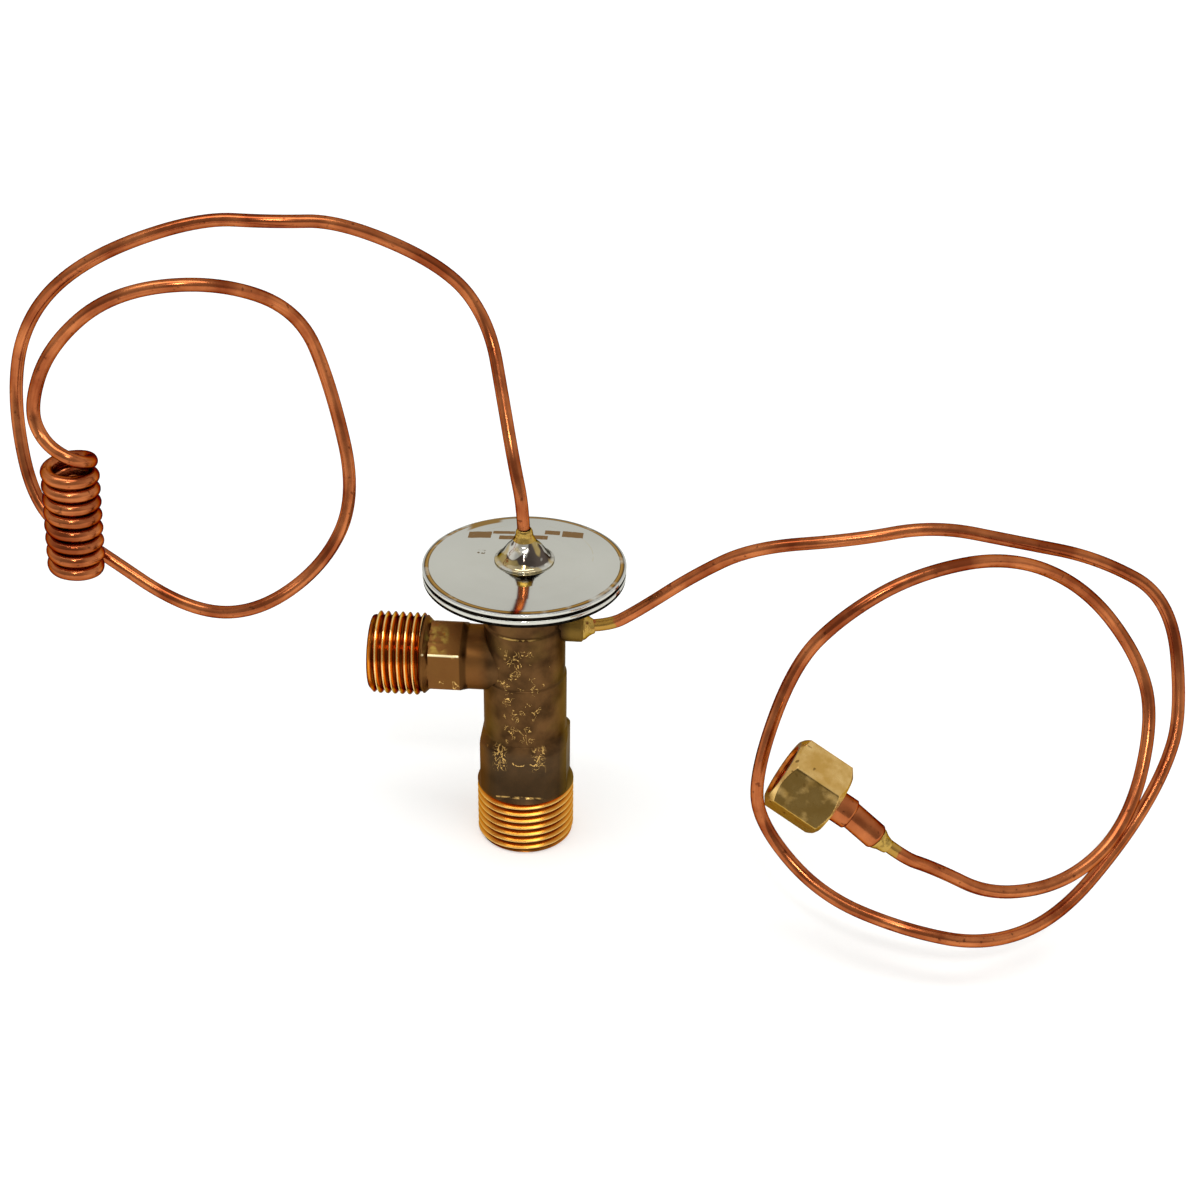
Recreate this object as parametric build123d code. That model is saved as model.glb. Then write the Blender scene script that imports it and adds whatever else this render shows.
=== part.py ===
from build123d import *
import os
from math import atan2, cos, degrees, pi, radians, sin, sqrt, tan

# Angle-pattern thermostatic expansion valve with a coiled sensing line and an
# external equalizer line. All sizes in mm. The origin is the centre of the outlet
# thread's end face, +Z runs up the valve to the power head, and the inlet points
# along -X.

# Outlet thread (3/4-16) and the wrench square above it
OUTLET_THREAD_D = 19.05
OUTLET_THREAD_LENGTH = 11.9
OUTLET_LEAD_CHAMFER = 0.45
SHOULDER_CONE_HEIGHT = 1.2
WRENCH_ACROSS_FLATS = 16.9
WRENCH_CORNER_D = 19.4
WRENCH_LENGTH = 11.3
WRENCH_TOP_TAPER = 1.6

# Round body, its neck and the spigot that carries the power head
LOWER_BODY_D = 16.1
LOWER_BODY_LENGTH = 12.6
UPPER_BODY_D = 15.5
UPPER_BODY_LENGTH = 11.5
BODY_TOP_CHAMFER = 0.45
NECK_D = 14.6
NECK_LENGTH = 3.7
SPIGOT_SHOULDER = 1.5
SPIGOT_LENGTH = 2.8

# Inlet branch: round root, hexagon, collar, run-out groove and 5/8-18 thread
INLET_ABOVE_STEP = 2.54
INLET_ROOT_D = 12.6
INLET_ROOT_REACH = 11.0
INLET_HEX_ACROSS_FLATS = 13.0
INLET_HEX_LENGTH = 6.9
INLET_COLLAR_D = 15.1
INLET_COLLAR_WIDTH = 1.25
INLET_GROOVE_D = 13.9
INLET_GROOVE_WIDTH = 0.35
INLET_THREAD_D = 15.875
INLET_THREAD_LENGTH = 10.0
INLET_LEAD_CHAMFER = 0.9

# Equalizer boss on the side away from the inlet
BOSS_D = 6.1
BOSS_REACH = 11.4
BOSS_BELOW_NECK = 1.0
BOSS_EDGE_CHAMFER = 0.5
EQUALIZER_SOCKET_DEPTH = 3.0
EQUALIZER_BRAZE_LENGTH = 1.8
EQUALIZER_PASSAGE_D = 1.8
EQUALIZER_RISER_FROM_EDGE = 1.1

# Bores through the body
OUTLET_BORE_D = 13.4
OUTLET_BORE_DEPTH = 23.5
OUTLET_BORE_CHAMFER = 0.8
INLET_BORE_D = 9.4
INLET_BORE_DEPTH = 9.0
INLET_PASSAGE_D = 7.2
CENTRE_BORE_D = 5.6
ROD_GUIDE_BOTTOM_ABOVE_INLET = 5.5
SEAL_POCKET_D = 6.2
SEAL_POCKET_DEPTH = 5.8

# Fits
ROD_FIT = 0.05
SEAL_FIT = 0.03
SCREW_FIT = 0.1
SLEEVE_FIT = 0.075
TUBE_FIT = 0.05
REST_GAP = 0.05

# Power head
POWER_HEAD_D = 38.1
GASKET_THICKNESS = 0.5
LOWER_COVER_THICKNESS = 1.3
LOWER_HUB_D = 15.8
LOWER_HUB_HEIGHT = 0.7
LOWER_RIM_HEIGHT = 1.7
LOWER_RIM_ABOVE_GASKET = 5.0
UPPER_RIM_HEIGHT = 0.85
UPPER_COVER_THICKNESS = 0.7
RIM_GROOVE = 0.25
FLANGE_WIDTH = 3.15
CROWN_RISE = 0.9
CROWN_FLAT_D = 13.0
DIAPHRAGM_THICKNESS = 0.2
DIAPHRAGM_INSET = 0.35
DIAPHRAGM_WAVE_HEIGHT = 0.25
DIAPHRAGM_WAVES = 3
DIAPHRAGM_PLAIN_EDGE = 2.4

# Moving stem: thrust pad, push rod, ball and ball carrier
STEM_TRAVEL = 0.8
PAD_D = 15.0
PAD_THICKNESS = 1.1
PAD_BOSS_D = 5.2
PAD_BOSS_LENGTH = 1.9
ROD_D = 2.4
ROD_END_CHAMFER = 0.25
BALL_D = 4.76
CARRIER_D = 9.6
CARRIER_FLANGE_THICKNESS = 1.4
CARRIER_TOP_BELOW_ROOF = 0.8
CARRIER_CUP_D = 6.8
CARRIER_CUP_HEIGHT = 2.0
CARRIER_SPIGOT_D = 5.6
CARRIER_SPIGOT_LENGTH = 2.6

# Valve seat, superheat spring and its adjuster
SEAT_D = 8.0
SEAT_LENGTH = 6.0
SEAT_ORIFICE_D = 3.6
SEAT_ENTRY_CHAMFER = 0.8
SPRING_WIRE_D = 1.1
SPRING_OUTER_D = 9.0
SPRING_TURNS = 4.5
SPRING_SEAT_FIT = 0.4
SPRING_SEAT_THICKNESS = 1.5
SPRING_SEAT_SPIGOT_D = 5.6
SPRING_SEAT_SPIGOT_LENGTH = 2.0
SPRING_SEAT_HOLE_D = 3.0
FLOW_HOLE_D = 1.3
FLOW_HOLES = 6
FLOW_HOLE_FROM_EDGE = 0.85
ADJUSTER_LENGTH = 5.0
SPRING_CHAMBER_LENGTH = 13.9
ADJUSTER_HEX_ACROSS_FLATS = 6.0
ADJUSTER_CHAMFER = 0.5

# Rod seal and its bush
SEAL_RETAINER_FLANGE_GAP = 0.1
SEAL_RETAINER_TOP_GAP = 0.8

# Inlet strainer
STRAINER_RING_WIDTH = 1.5
STRAINER_RING_BORE_D = 5.6
STRAINER_RING_DEPTH = 5.6
STRAINER_D = 6.4
STRAINER_WALL = 0.35
STRAINER_LENGTH = 9.0
STRAINER_RIM_D = 9.0
STRAINER_RIM_THICKNESS = 0.5

# Capillary line, its adapter and its sensing coil
TUBE_D = 2.4
ADAPTER_D = 11.2
ADAPTER_LIP_THICKNESS = 0.4
ADAPTER_WAIST_D = 8.6
ADAPTER_HEIGHT = 4.5
ADAPTER_TOP_D = 3.9
CAPILLARY_BRAZE_HEIGHT = 1.6
BRAZE_NECK = 0.2
BRAZE_NECK_LENGTH = 0.8
CAPILLARY_START_BELOW_ADAPTER = 0.4
COIL_RADIUS = 3.95
COIL_PITCH = 2.63
COIL_TURNS = 8.0
COIL_TOP = (-79.65, -12.5, 81.5)
COIL_TOP_ANGLE = 270
COIL_FIRST_ANGLE = 60
COIL_LEAN = -0.146
CORNERS_PER_TURN = 6
ARC_SHARE = 0.45

# Route of the capillary line from the adapter to the coil
CAPILLARY_ROUTE = [
    (0.0, 0.0, 71.0), (-2.2, 2.8, 80.1), (-4.8, 9.6, 89.2), (-8.2, 18.6, 100.4),
    (-15.6, 18.6, 110.9), (-34.0, 14.3, 120.6), (-45.5, 10.4, 121.2), (-58.9, 10.0, 121.6),
    (-79.2, 6.0, 114.5), (-91.7, 7.1, 102.2), (-95.6, 5.9, 86.0), (-91.2, -1.9, 67.8),
    (-80.0, -4.9, 62.4), (-62.9, -8.3, 51.9), (-48.7, -11.8, 53.6), (-36.7, -4.6, 60.6),
    (-30.8, -0.9, 73.6), (-35.2, 3.6, 93.0), (-40.3, 4.3, 107.4), (-52.1, -6.4, 116.4),
    (-69.4, -9.4, 114.7), (-81.3, -10.1, 104.5), (-85.8, -11.2, 93.3), (-83.5, -13.1, 87.6),
    (-77.6, -16.0, 85.5), (-75.5, -11.7, 83.3),
]

# Route of the equalizer line from the boss to its flare stub
EQUALIZER_ROUTE = [
    (15.5, 0.0, 47.5), (21.5, 0.2, 51.4), (31.5, 0.5, 59.3), (42.1, -2.5, 67.5),
    (60.0, -4.2, 70.8), (74.5, -1.0, 72.9), (90.0, 1.5, 69.0), (106.4, 6.9, 63.6),
    (121.2, 7.3, 55.5), (124.2, -3.0, 36.6), (120.9, -10.7, 28.2), (113.6, -18.9, 18.1),
    (101.0, -31.8, 9.4), (87.1, -41.1, 9.7), (72.4, -42.4, 13.1), (57.3, -35.5, 14.5),
    (46.4, -27.9, 23.0), (44.0, -27.8, 34.0), (49.9, -20.6, 53.8), (58.3, -18.9, 63.8),
    (70.7, -14.4, 70.3), (87.7, -6.3, 70.4), (103.0, -0.8, 61.8), (114.4, -1.6, 48.3),
    (118.0, -7.5, 38.2), (113.6, -20.6, 23.5), (102.6, -30.5, 16.9), (88.0, -35.9, 16.7),
    (76.6, -37.6, 23.8),
]

# Flare nut (3/8-24 thread, half-inch hexagon) and the stub that carries it
NUT_MOUTH = (48.79, -35.72, 41.94)
NUT_AXIS = (0.8556, -0.2256, -0.4658)
STUB_AXIS = (0.777, -0.198, -0.598)
NUT_ACROSS_FLATS = 12.7
NUT_LENGTH = 10.7
NUT_HEX_TURN = 17.5
NUT_THREAD_BORE_D = 8.5
NUT_THREAD_DEPTH = 7.0
NUT_MOUTH_CHAMFER = 0.5
NUT_CORNER_CHAMFER = 1.1
FLARE_ANGLE = 45.0
FLARE_FIT = 0.4
FLARE_WALL = 0.8
FLARE_LIP = 0.25
SLEEVE_D = 5.6
SLEEVE_BEYOND_NUT = 3.65
STUB_D = 4.8
STUB_LENGTH = 6.2
STUB_STEP_CHAMFER = 0.35
STUB_END_ROUND = 0.5
STUB_SOCKET_DEPTH = 4.0
STUB_LEAD_IN = 5.0
STUB_ROOT = 0.6
STUB_BRAZE_LENGTH = 2.2

# Levels up the valve
SHOULDER_TOP = OUTLET_THREAD_LENGTH + SHOULDER_CONE_HEIGHT
WRENCH_TOP = SHOULDER_TOP + WRENCH_LENGTH
STEP_Z = WRENCH_TOP + LOWER_BODY_LENGTH
BODY_TOP = STEP_Z + UPPER_BODY_LENGTH
NECK_TOP = BODY_TOP + NECK_LENGTH
SPIGOT_TOP = NECK_TOP + SPIGOT_LENGTH
INLET_Z = STEP_Z + INLET_ABOVE_STEP
SPIGOT_R = NECK_D / 2 - SPIGOT_SHOULDER
EQUALIZER_RISER_X = SPIGOT_R - EQUALIZER_RISER_FROM_EDGE
BOSS_Z = BODY_TOP - BOSS_BELOW_NECK
COVER_SEAT = NECK_TOP + GASKET_THICKNESS
LOWER_RIM_BOTTOM = COVER_SEAT + LOWER_RIM_ABOVE_GASKET
DIAPHRAGM_Z = LOWER_RIM_BOTTOM + LOWER_RIM_HEIGHT
UPPER_COVER_Z = DIAPHRAGM_Z + DIAPHRAGM_THICKNESS
CROWN_Z = UPPER_COVER_Z + UPPER_RIM_HEIGHT + CROWN_RISE
ADAPTER_TOP = CROWN_Z + ADAPTER_HEIGHT
RIM_R = POWER_HEAD_D / 2
FLANGE_INNER_R = RIM_R - FLANGE_WIDTH
WAVE_PITCH = (FLANGE_INNER_R - PAD_D / 2 - DIAPHRAGM_PLAIN_EDGE) / DIAPHRAGM_WAVES
ROD_GUIDE_BOTTOM = INLET_Z + ROD_GUIDE_BOTTOM_ABOVE_INLET
SEAL_POCKET_FLOOR = SPIGOT_TOP - SEAL_POCKET_DEPTH

# Levels of the moving parts, all with the valve closed
BALL_R = BALL_D / 2
ORIFICE_R = SEAT_ORIFICE_D / 2
BALL_Z = OUTLET_BORE_DEPTH - sqrt(BALL_R**2 - ORIFICE_R**2) - REST_GAP
BALL_TOP = BALL_Z + BALL_R
PAD_TOP = DIAPHRAGM_Z
ROD_TOP = PAD_TOP - PAD_THICKNESS
CARRIER_TOP = OUTLET_BORE_DEPTH - CARRIER_TOP_BELOW_ROOF
CARRIER_FLANGE_BOTTOM = CARRIER_TOP - CARRIER_CUP_HEIGHT - CARRIER_FLANGE_THICKNESS
ADJUSTER_TOP = OUTLET_BORE_DEPTH - SPRING_CHAMBER_LENGTH
ADJUSTER_BOTTOM = ADJUSTER_TOP - ADJUSTER_LENGTH
SPRING_SEAT_TOP = ADJUSTER_TOP + SPRING_SEAT_THICKNESS
SPRING_SEAT_R = OUTLET_BORE_D / 2 - SPRING_SEAT_FIT

# Distances out along the inlet branch
INLET_HEX_END = INLET_ROOT_REACH + INLET_HEX_LENGTH
INLET_COLLAR_END = INLET_HEX_END + INLET_COLLAR_WIDTH
INLET_GROOVE_END = INLET_COLLAR_END + INLET_GROOVE_WIDTH
INLET_END = INLET_GROOVE_END + INLET_THREAD_LENGTH


def ring_of(points, plane=Plane.XZ, axis=Axis.Z):
    """Turn a closed outline of (radius, height) points about an axis."""
    outline = make_face(plane * Polyline(points, close=True))
    return revolve(outline, axis)


def rod(diameter, length, start=(0, 0, 0), direction=(0, 0, 1)):
    """A plain cylinder from a start point along a direction."""
    return extrude(Plane(start, z_dir=direction) * Circle(diameter / 2), length)


def hexagon_bar(across_flats, length, plane, turn=0.0):
    """A hexagonal bar that grows along the plane's normal."""
    corner_r = across_flats / 2 / cos(radians(30))
    return extrude(plane * Rot(0, 0, turn) * RegularPolygon(corner_r, 6), length)


def smooth_path(points):
    """Straight runs joined by tangent arcs, each as large as its runs allow."""
    radii = []
    spots = [Vector(*point) for point in points]
    for before, corner, after in zip(spots, spots[1:], spots[2:]):
        run_in = corner - before
        run_out = after - corner
        half_turn = radians(run_in.get_angle(run_out)) / 2
        radii.append(ARC_SHARE * min(run_in.length, run_out.length) / tan(half_turn))
    return FilletPolyline(*points, radius=radii), radii


def swept_tube(points, diameter):
    """A round tube along a smooth path."""
    path, radii = smooth_path(points)
    section = Plane(path @ 0, z_dir=path % 0) * Circle(diameter / 2)
    tube = sweep(section, path=path, transition=Transition.ROUND)
    print("tube length", round(path.length, 1), "tightest radius", round(min(radii), 2))
    return tube


def body_outside():
    """Outlet thread, wrench section, round body, neck and spigot, turned from bar."""
    thread_r = OUTLET_THREAD_D / 2
    wrench_r = WRENCH_CORNER_D / 2
    lower_r = LOWER_BODY_D / 2
    upper_r = UPPER_BODY_D / 2
    turned = ring_of([
        (0, 0),
        (thread_r - OUTLET_LEAD_CHAMFER, 0),
        (thread_r, OUTLET_LEAD_CHAMFER),
        (thread_r, OUTLET_THREAD_LENGTH),
        (WRENCH_ACROSS_FLATS / 2, SHOULDER_TOP),
        (wrench_r, SHOULDER_TOP),
        (wrench_r, WRENCH_TOP - WRENCH_TOP_TAPER),
        (lower_r, WRENCH_TOP),
        (lower_r, STEP_Z - (lower_r - upper_r)),
        (upper_r, STEP_Z),
        (upper_r, BODY_TOP - BODY_TOP_CHAMFER),
        (NECK_D / 2, BODY_TOP),
        (NECK_D / 2, NECK_TOP),
        (SPIGOT_R, NECK_TOP),
        (SPIGOT_R, SPIGOT_TOP),
        (0, SPIGOT_TOP),
    ])
    square = Pos(0, 0, SHOULDER_TOP) * extrude(
        Rectangle(WRENCH_ACROSS_FLATS, WRENCH_ACROSS_FLATS), WRENCH_LENGTH)
    band = rod(WRENCH_CORNER_D, WRENCH_LENGTH, (0, 0, SHOULDER_TOP))
    return turned - (band - square)


def inlet_outside():
    """Root, hexagon, collar, groove and thread, laid out along +X before turning."""
    collar_r = INLET_COLLAR_D / 2
    hex_r = INLET_HEX_ACROSS_FLATS / 2
    thread_r = INLET_THREAD_D / 2
    turned = ring_of([
        (0, 0),
        (INLET_ROOT_D / 2, 0),
        (INLET_ROOT_D / 2, INLET_ROOT_REACH + hex_r / 2),
        (hex_r, INLET_HEX_END),
        (collar_r, INLET_HEX_END + collar_r - hex_r),
        (collar_r, INLET_COLLAR_END),
        (INLET_GROOVE_D / 2, INLET_COLLAR_END),
        (INLET_GROOVE_D / 2, INLET_GROOVE_END),
        (thread_r, INLET_GROOVE_END),
        (thread_r, INLET_END - INLET_LEAD_CHAMFER),
        (thread_r - INLET_LEAD_CHAMFER, INLET_END),
        (0, INLET_END),
    ])
    hexagon = hexagon_bar(
        INLET_HEX_ACROSS_FLATS, INLET_HEX_LENGTH, Plane((0, 0, INLET_ROOT_REACH)))
    return to_inlet(turned + hexagon)


def to_inlet(shape):
    """Lay a shape that was built up +Z along the inlet branch."""
    return Pos(0, 0, INLET_Z) * Rot(0, -90, 0) * shape


def equalizer_boss():
    """Short round lug that takes the equalizer line."""
    boss = rod(BOSS_D, BOSS_REACH, (0, 0, BOSS_Z), (1, 0, 0))
    outer_edge = boss.edges().sort_by(Axis.X)[-1]
    return chamfer(outer_edge, BOSS_EDGE_CHAMFER)


def body_bores():
    """Every drilled and bored hole in the body, as one tool."""
    bore_r = OUTLET_BORE_D / 2
    outlet = ring_of([
        (0, 0),
        (bore_r + OUTLET_BORE_CHAMFER, 0),
        (bore_r, OUTLET_BORE_CHAMFER),
        (bore_r, OUTLET_BORE_DEPTH),
        (SEAT_D / 2, OUTLET_BORE_DEPTH),
        (SEAT_D / 2, OUTLET_BORE_DEPTH + SEAT_LENGTH),
        (CENTRE_BORE_D / 2, OUTLET_BORE_DEPTH + SEAT_LENGTH),
        (CENTRE_BORE_D / 2, ROD_GUIDE_BOTTOM),
        (ROD_D / 2 + ROD_FIT, ROD_GUIDE_BOTTOM),
        (ROD_D / 2 + ROD_FIT, SEAL_POCKET_FLOOR),
        (SEAL_POCKET_D / 2, SEAL_POCKET_FLOOR),
        (SEAL_POCKET_D / 2, SPIGOT_TOP),
        (0, SPIGOT_TOP),
    ])
    inlet = to_inlet(
        rod(INLET_PASSAGE_D, INLET_END)
        + rod(INLET_BORE_D, INLET_BORE_DEPTH, (0, 0, INLET_END - INLET_BORE_DEPTH)))
    socket = rod(TUBE_D + 2 * TUBE_FIT, EQUALIZER_SOCKET_DEPTH,
                 (BOSS_REACH - EQUALIZER_SOCKET_DEPTH, 0, BOSS_Z), (1, 0, 0))
    cross_hole = rod(EQUALIZER_PASSAGE_D, BOSS_REACH - EQUALIZER_RISER_X,
                     (EQUALIZER_RISER_X, 0, BOSS_Z), (1, 0, 0))
    riser = rod(EQUALIZER_PASSAGE_D, SPIGOT_TOP - BOSS_Z,
                (EQUALIZER_RISER_X, 0, BOSS_Z))
    return outlet + inlet + socket + cross_hole + riser


def valve_body():
    """The brass body with its inlet branch and equalizer boss, in one piece."""
    return body_outside() + inlet_outside() + equalizer_boss() - body_bores()


def lower_cover():
    """Pressed steel cup that screws on the spigot and carries the diaphragm."""
    bore_r = SPIGOT_R + SCREW_FIT
    hub_r = LOWER_HUB_D / 2
    cone_start = COVER_SEAT + LOWER_HUB_HEIGHT
    rim_in_r = RIM_R - RIM_GROOVE
    return ring_of([
        (bore_r, COVER_SEAT),
        (hub_r, COVER_SEAT),
        (hub_r, cone_start),
        (rim_in_r, LOWER_RIM_BOTTOM),
        (RIM_R, LOWER_RIM_BOTTOM + RIM_GROOVE),
        (RIM_R, DIAPHRAGM_Z - RIM_GROOVE),
        (rim_in_r, DIAPHRAGM_Z),
        (FLANGE_INNER_R, DIAPHRAGM_Z),
        (FLANGE_INNER_R - LOWER_COVER_THICKNESS, DIAPHRAGM_Z - LOWER_COVER_THICKNESS),
        (hub_r, cone_start + LOWER_COVER_THICKNESS),
        (bore_r, cone_start + LOWER_COVER_THICKNESS),
    ])


def upper_cover():
    """Shallow crowned steel cap, drilled for the capillary line."""
    hole_r = TUBE_D / 2 + TUBE_FIT
    flat_r = CROWN_FLAT_D / 2
    rim_top = UPPER_COVER_Z + UPPER_RIM_HEIGHT
    crown_start_r = RIM_R - 2 * RIM_GROOVE
    middle_r = (flat_r + crown_start_r) / 2
    middle_z = rim_top + CROWN_RISE * 0.62
    inner_r = FLANGE_INNER_R - UPPER_COVER_THICKNESS
    with BuildPart() as cover:
        with BuildSketch(Plane.XZ):
            with BuildLine():
                Polyline((hole_r, CROWN_Z - UPPER_COVER_THICKNESS), (hole_r, CROWN_Z),
                         (flat_r, CROWN_Z))
                ThreePointArc((flat_r, CROWN_Z), (middle_r, middle_z),
                              (crown_start_r, rim_top))
                Polyline((crown_start_r, rim_top), (RIM_R, rim_top - RIM_GROOVE),
                         (RIM_R, UPPER_COVER_Z + RIM_GROOVE),
                         (RIM_R - RIM_GROOVE, UPPER_COVER_Z),
                         (FLANGE_INNER_R, UPPER_COVER_Z),
                         (inner_r, rim_top - UPPER_COVER_THICKNESS))
                ThreePointArc((inner_r, rim_top - UPPER_COVER_THICKNESS),
                              (middle_r, middle_z - UPPER_COVER_THICKNESS),
                              (flat_r, CROWN_Z - UPPER_COVER_THICKNESS))
                Line((flat_r, CROWN_Z - UPPER_COVER_THICKNESS),
                     (hole_r, CROWN_Z - UPPER_COVER_THICKNESS))
            make_face()
        revolve(axis=Axis.Z)
    return cover.part


def diaphragm():
    """Thin corrugated steel disc, welded between the two covers."""
    outer_r = RIM_R - DIAPHRAGM_INSET
    crest = DIAPHRAGM_WAVE_HEIGHT
    under = [(0, 0)]
    for wave in range(DIAPHRAGM_WAVES):
        start = PAD_D / 2 + (wave + 0.5) * WAVE_PITCH
        under.append((start, 0))
        under.append((start + WAVE_PITCH / 4, -crest))
        under.append((start + WAVE_PITCH / 2, 0))
    under.append((outer_r, 0))
    over = [(r, z + DIAPHRAGM_THICKNESS) for r, z in reversed(under)]
    return Pos(0, 0, DIAPHRAGM_Z) * ring_of(under + over)


def power_head_gasket():
    """Soft copper washer between the neck and the power head."""
    return ring_of([
        (SPIGOT_R + SCREW_FIT, NECK_TOP),
        (NECK_D / 2, NECK_TOP),
        (NECK_D / 2, COVER_SEAT),
        (SPIGOT_R + SCREW_FIT, COVER_SEAT),
    ])


def thrust_pad():
    """Disc that takes the push of the diaphragm to the rod."""
    rod_r = ROD_D / 2
    boss_bottom = ROD_TOP - PAD_BOSS_LENGTH
    return ring_of([
        (0, ROD_TOP), (rod_r, ROD_TOP), (rod_r, boss_bottom), (PAD_BOSS_D / 2, boss_bottom),
        (PAD_BOSS_D / 2, ROD_TOP), (PAD_D / 2, ROD_TOP), (PAD_D / 2, PAD_TOP), (0, PAD_TOP),
    ])


def push_rod():
    """Ground pin from the thrust pad to the ball."""
    pin = rod(ROD_D, ROD_TOP - BALL_TOP, (0, 0, BALL_TOP))
    return chamfer(pin.edges().filter_by(GeomType.CIRCLE), ROD_END_CHAMFER)


def rod_seal():
    """O-ring that keeps inlet pressure out of the power head."""
    inner_r = ROD_D / 2 + SEAL_FIT
    cord_r = (SEAL_POCKET_D / 2 - inner_r) / 2
    centre_z = SEAL_POCKET_FLOOR + cord_r
    return revolve(Plane.XZ * Pos(inner_r + cord_r, centre_z) * Circle(cord_r), Axis.Z)


def seal_retainer():
    """Brass bush that holds the O-ring down in its pocket."""
    inner_r = ROD_D / 2 + ROD_FIT
    cord_d = SEAL_POCKET_D / 2 - ROD_D / 2 - SEAL_FIT
    bottom = SEAL_POCKET_FLOOR + cord_d
    top = SPIGOT_TOP - SEAL_RETAINER_TOP_GAP
    return ring_of([(inner_r, bottom), (SEAL_POCKET_D / 2, bottom),
                    (SEAL_POCKET_D / 2, top), (inner_r, top)])


def valve_seat():
    """Hard insert whose lower edge the ball closes on."""
    top = OUTLET_BORE_DEPTH + SEAT_LENGTH
    return ring_of([
        (ORIFICE_R, OUTLET_BORE_DEPTH),
        (SEAT_D / 2, OUTLET_BORE_DEPTH),
        (SEAT_D / 2, top),
        (ORIFICE_R + SEAT_ENTRY_CHAMFER, top),
        (ORIFICE_R, top - SEAT_ENTRY_CHAMFER),
    ])


def valve_ball():
    """Steel ball that meters the refrigerant."""
    return Pos(0, 0, BALL_Z) * Sphere(BALL_R)


def ball_carrier():
    """Guide that holds the ball in a conical cup and stands on the spring."""
    cup_bottom = CARRIER_TOP - CARRIER_CUP_HEIGHT
    spigot_bottom = CARRIER_FLANGE_BOTTOM - CARRIER_SPIGOT_LENGTH
    outside = ring_of([
        (0, spigot_bottom),
        (CARRIER_SPIGOT_D / 2, spigot_bottom),
        (CARRIER_SPIGOT_D / 2, CARRIER_FLANGE_BOTTOM),
        (CARRIER_D / 2, CARRIER_FLANGE_BOTTOM),
        (CARRIER_D / 2, cup_bottom),
        (CARRIER_CUP_D / 2, cup_bottom),
        (CARRIER_CUP_D / 2, CARRIER_TOP),
        (0, CARRIER_TOP),
    ])
    return outside - valve_ball()


def superheat_spring():
    """Closed-end compression spring between the spring seat and the carrier."""
    coil_r = (SPRING_OUTER_D - SPRING_WIRE_D) / 2
    wire_r = SPRING_WIRE_D / 2
    height = CARRIER_FLANGE_BOTTOM - SPRING_SEAT_TOP - SPRING_WIRE_D
    pitch = height / SPRING_TURNS
    helix = Helix(pitch=pitch, height=height, radius=coil_r)
    wire = sweep(Plane(helix @ 0, z_dir=helix % 0) * Circle(wire_r), path=helix)
    return Pos(0, 0, SPRING_SEAT_TOP + wire_r) * wire


def spring_seat():
    """Guide washer with flow holes, lifted by the adjusting nut."""
    hole_r = SPRING_SEAT_HOLE_D / 2
    spigot_top = SPRING_SEAT_TOP + SPRING_SEAT_SPIGOT_LENGTH
    washer = ring_of([
        (hole_r, ADJUSTER_TOP),
        (SPRING_SEAT_R, ADJUSTER_TOP),
        (SPRING_SEAT_R, SPRING_SEAT_TOP),
        (SPRING_SEAT_SPIGOT_D / 2, SPRING_SEAT_TOP),
        (SPRING_SEAT_SPIGOT_D / 2, spigot_top),
        (hole_r, spigot_top),
    ])
    circle = PolarLocations(SPRING_SEAT_R - FLOW_HOLE_FROM_EDGE, FLOW_HOLES)
    hole = rod(FLOW_HOLE_D, SPRING_SEAT_THICKNESS, (0, 0, ADJUSTER_TOP))
    return washer - [place * hole for place in circle]


def adjusting_nut():
    """Threaded plug with a hexagonal flow hole, turned from the outlet end."""
    outer_r = OUTLET_BORE_D / 2 - SCREW_FIT
    plug = ring_of([
        (0, ADJUSTER_BOTTOM),
        (outer_r - ADJUSTER_CHAMFER, ADJUSTER_BOTTOM),
        (outer_r, ADJUSTER_BOTTOM + ADJUSTER_CHAMFER),
        (outer_r, ADJUSTER_TOP - ADJUSTER_CHAMFER),
        (outer_r - ADJUSTER_CHAMFER, ADJUSTER_TOP),
        (0, ADJUSTER_TOP),
    ])
    key = hexagon_bar(ADJUSTER_HEX_ACROSS_FLATS, ADJUSTER_LENGTH,
                      Plane((0, 0, ADJUSTER_BOTTOM)))
    return plug - key


def inlet_strainer():
    """Cup of fine wire cloth with a rolled rim, in the mouth of the inlet."""
    rim = INLET_END - STRAINER_RING_DEPTH - STRAINER_RING_WIDTH
    outer_r = STRAINER_D / 2
    inner_r = outer_r - STRAINER_WALL
    bottom = rim - STRAINER_LENGTH
    return to_inlet(ring_of([
        (0, bottom), (outer_r, bottom), (outer_r, rim - STRAINER_RIM_THICKNESS),
        (INLET_BORE_D / 2, rim - STRAINER_RIM_THICKNESS), (INLET_BORE_D / 2, rim),
        (inner_r, rim), (inner_r, bottom + STRAINER_WALL), (0, bottom + STRAINER_WALL),
    ]))


def strainer_ring():
    """Pressed brass ring that keeps the strainer in."""
    outer = INLET_END - STRAINER_RING_DEPTH
    inner = outer - STRAINER_RING_WIDTH
    bore_r = STRAINER_RING_BORE_D / 2
    return to_inlet(ring_of([(bore_r, inner), (INLET_BORE_D / 2, inner),
                             (INLET_BORE_D / 2, outer), (bore_r, outer)]))


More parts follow.
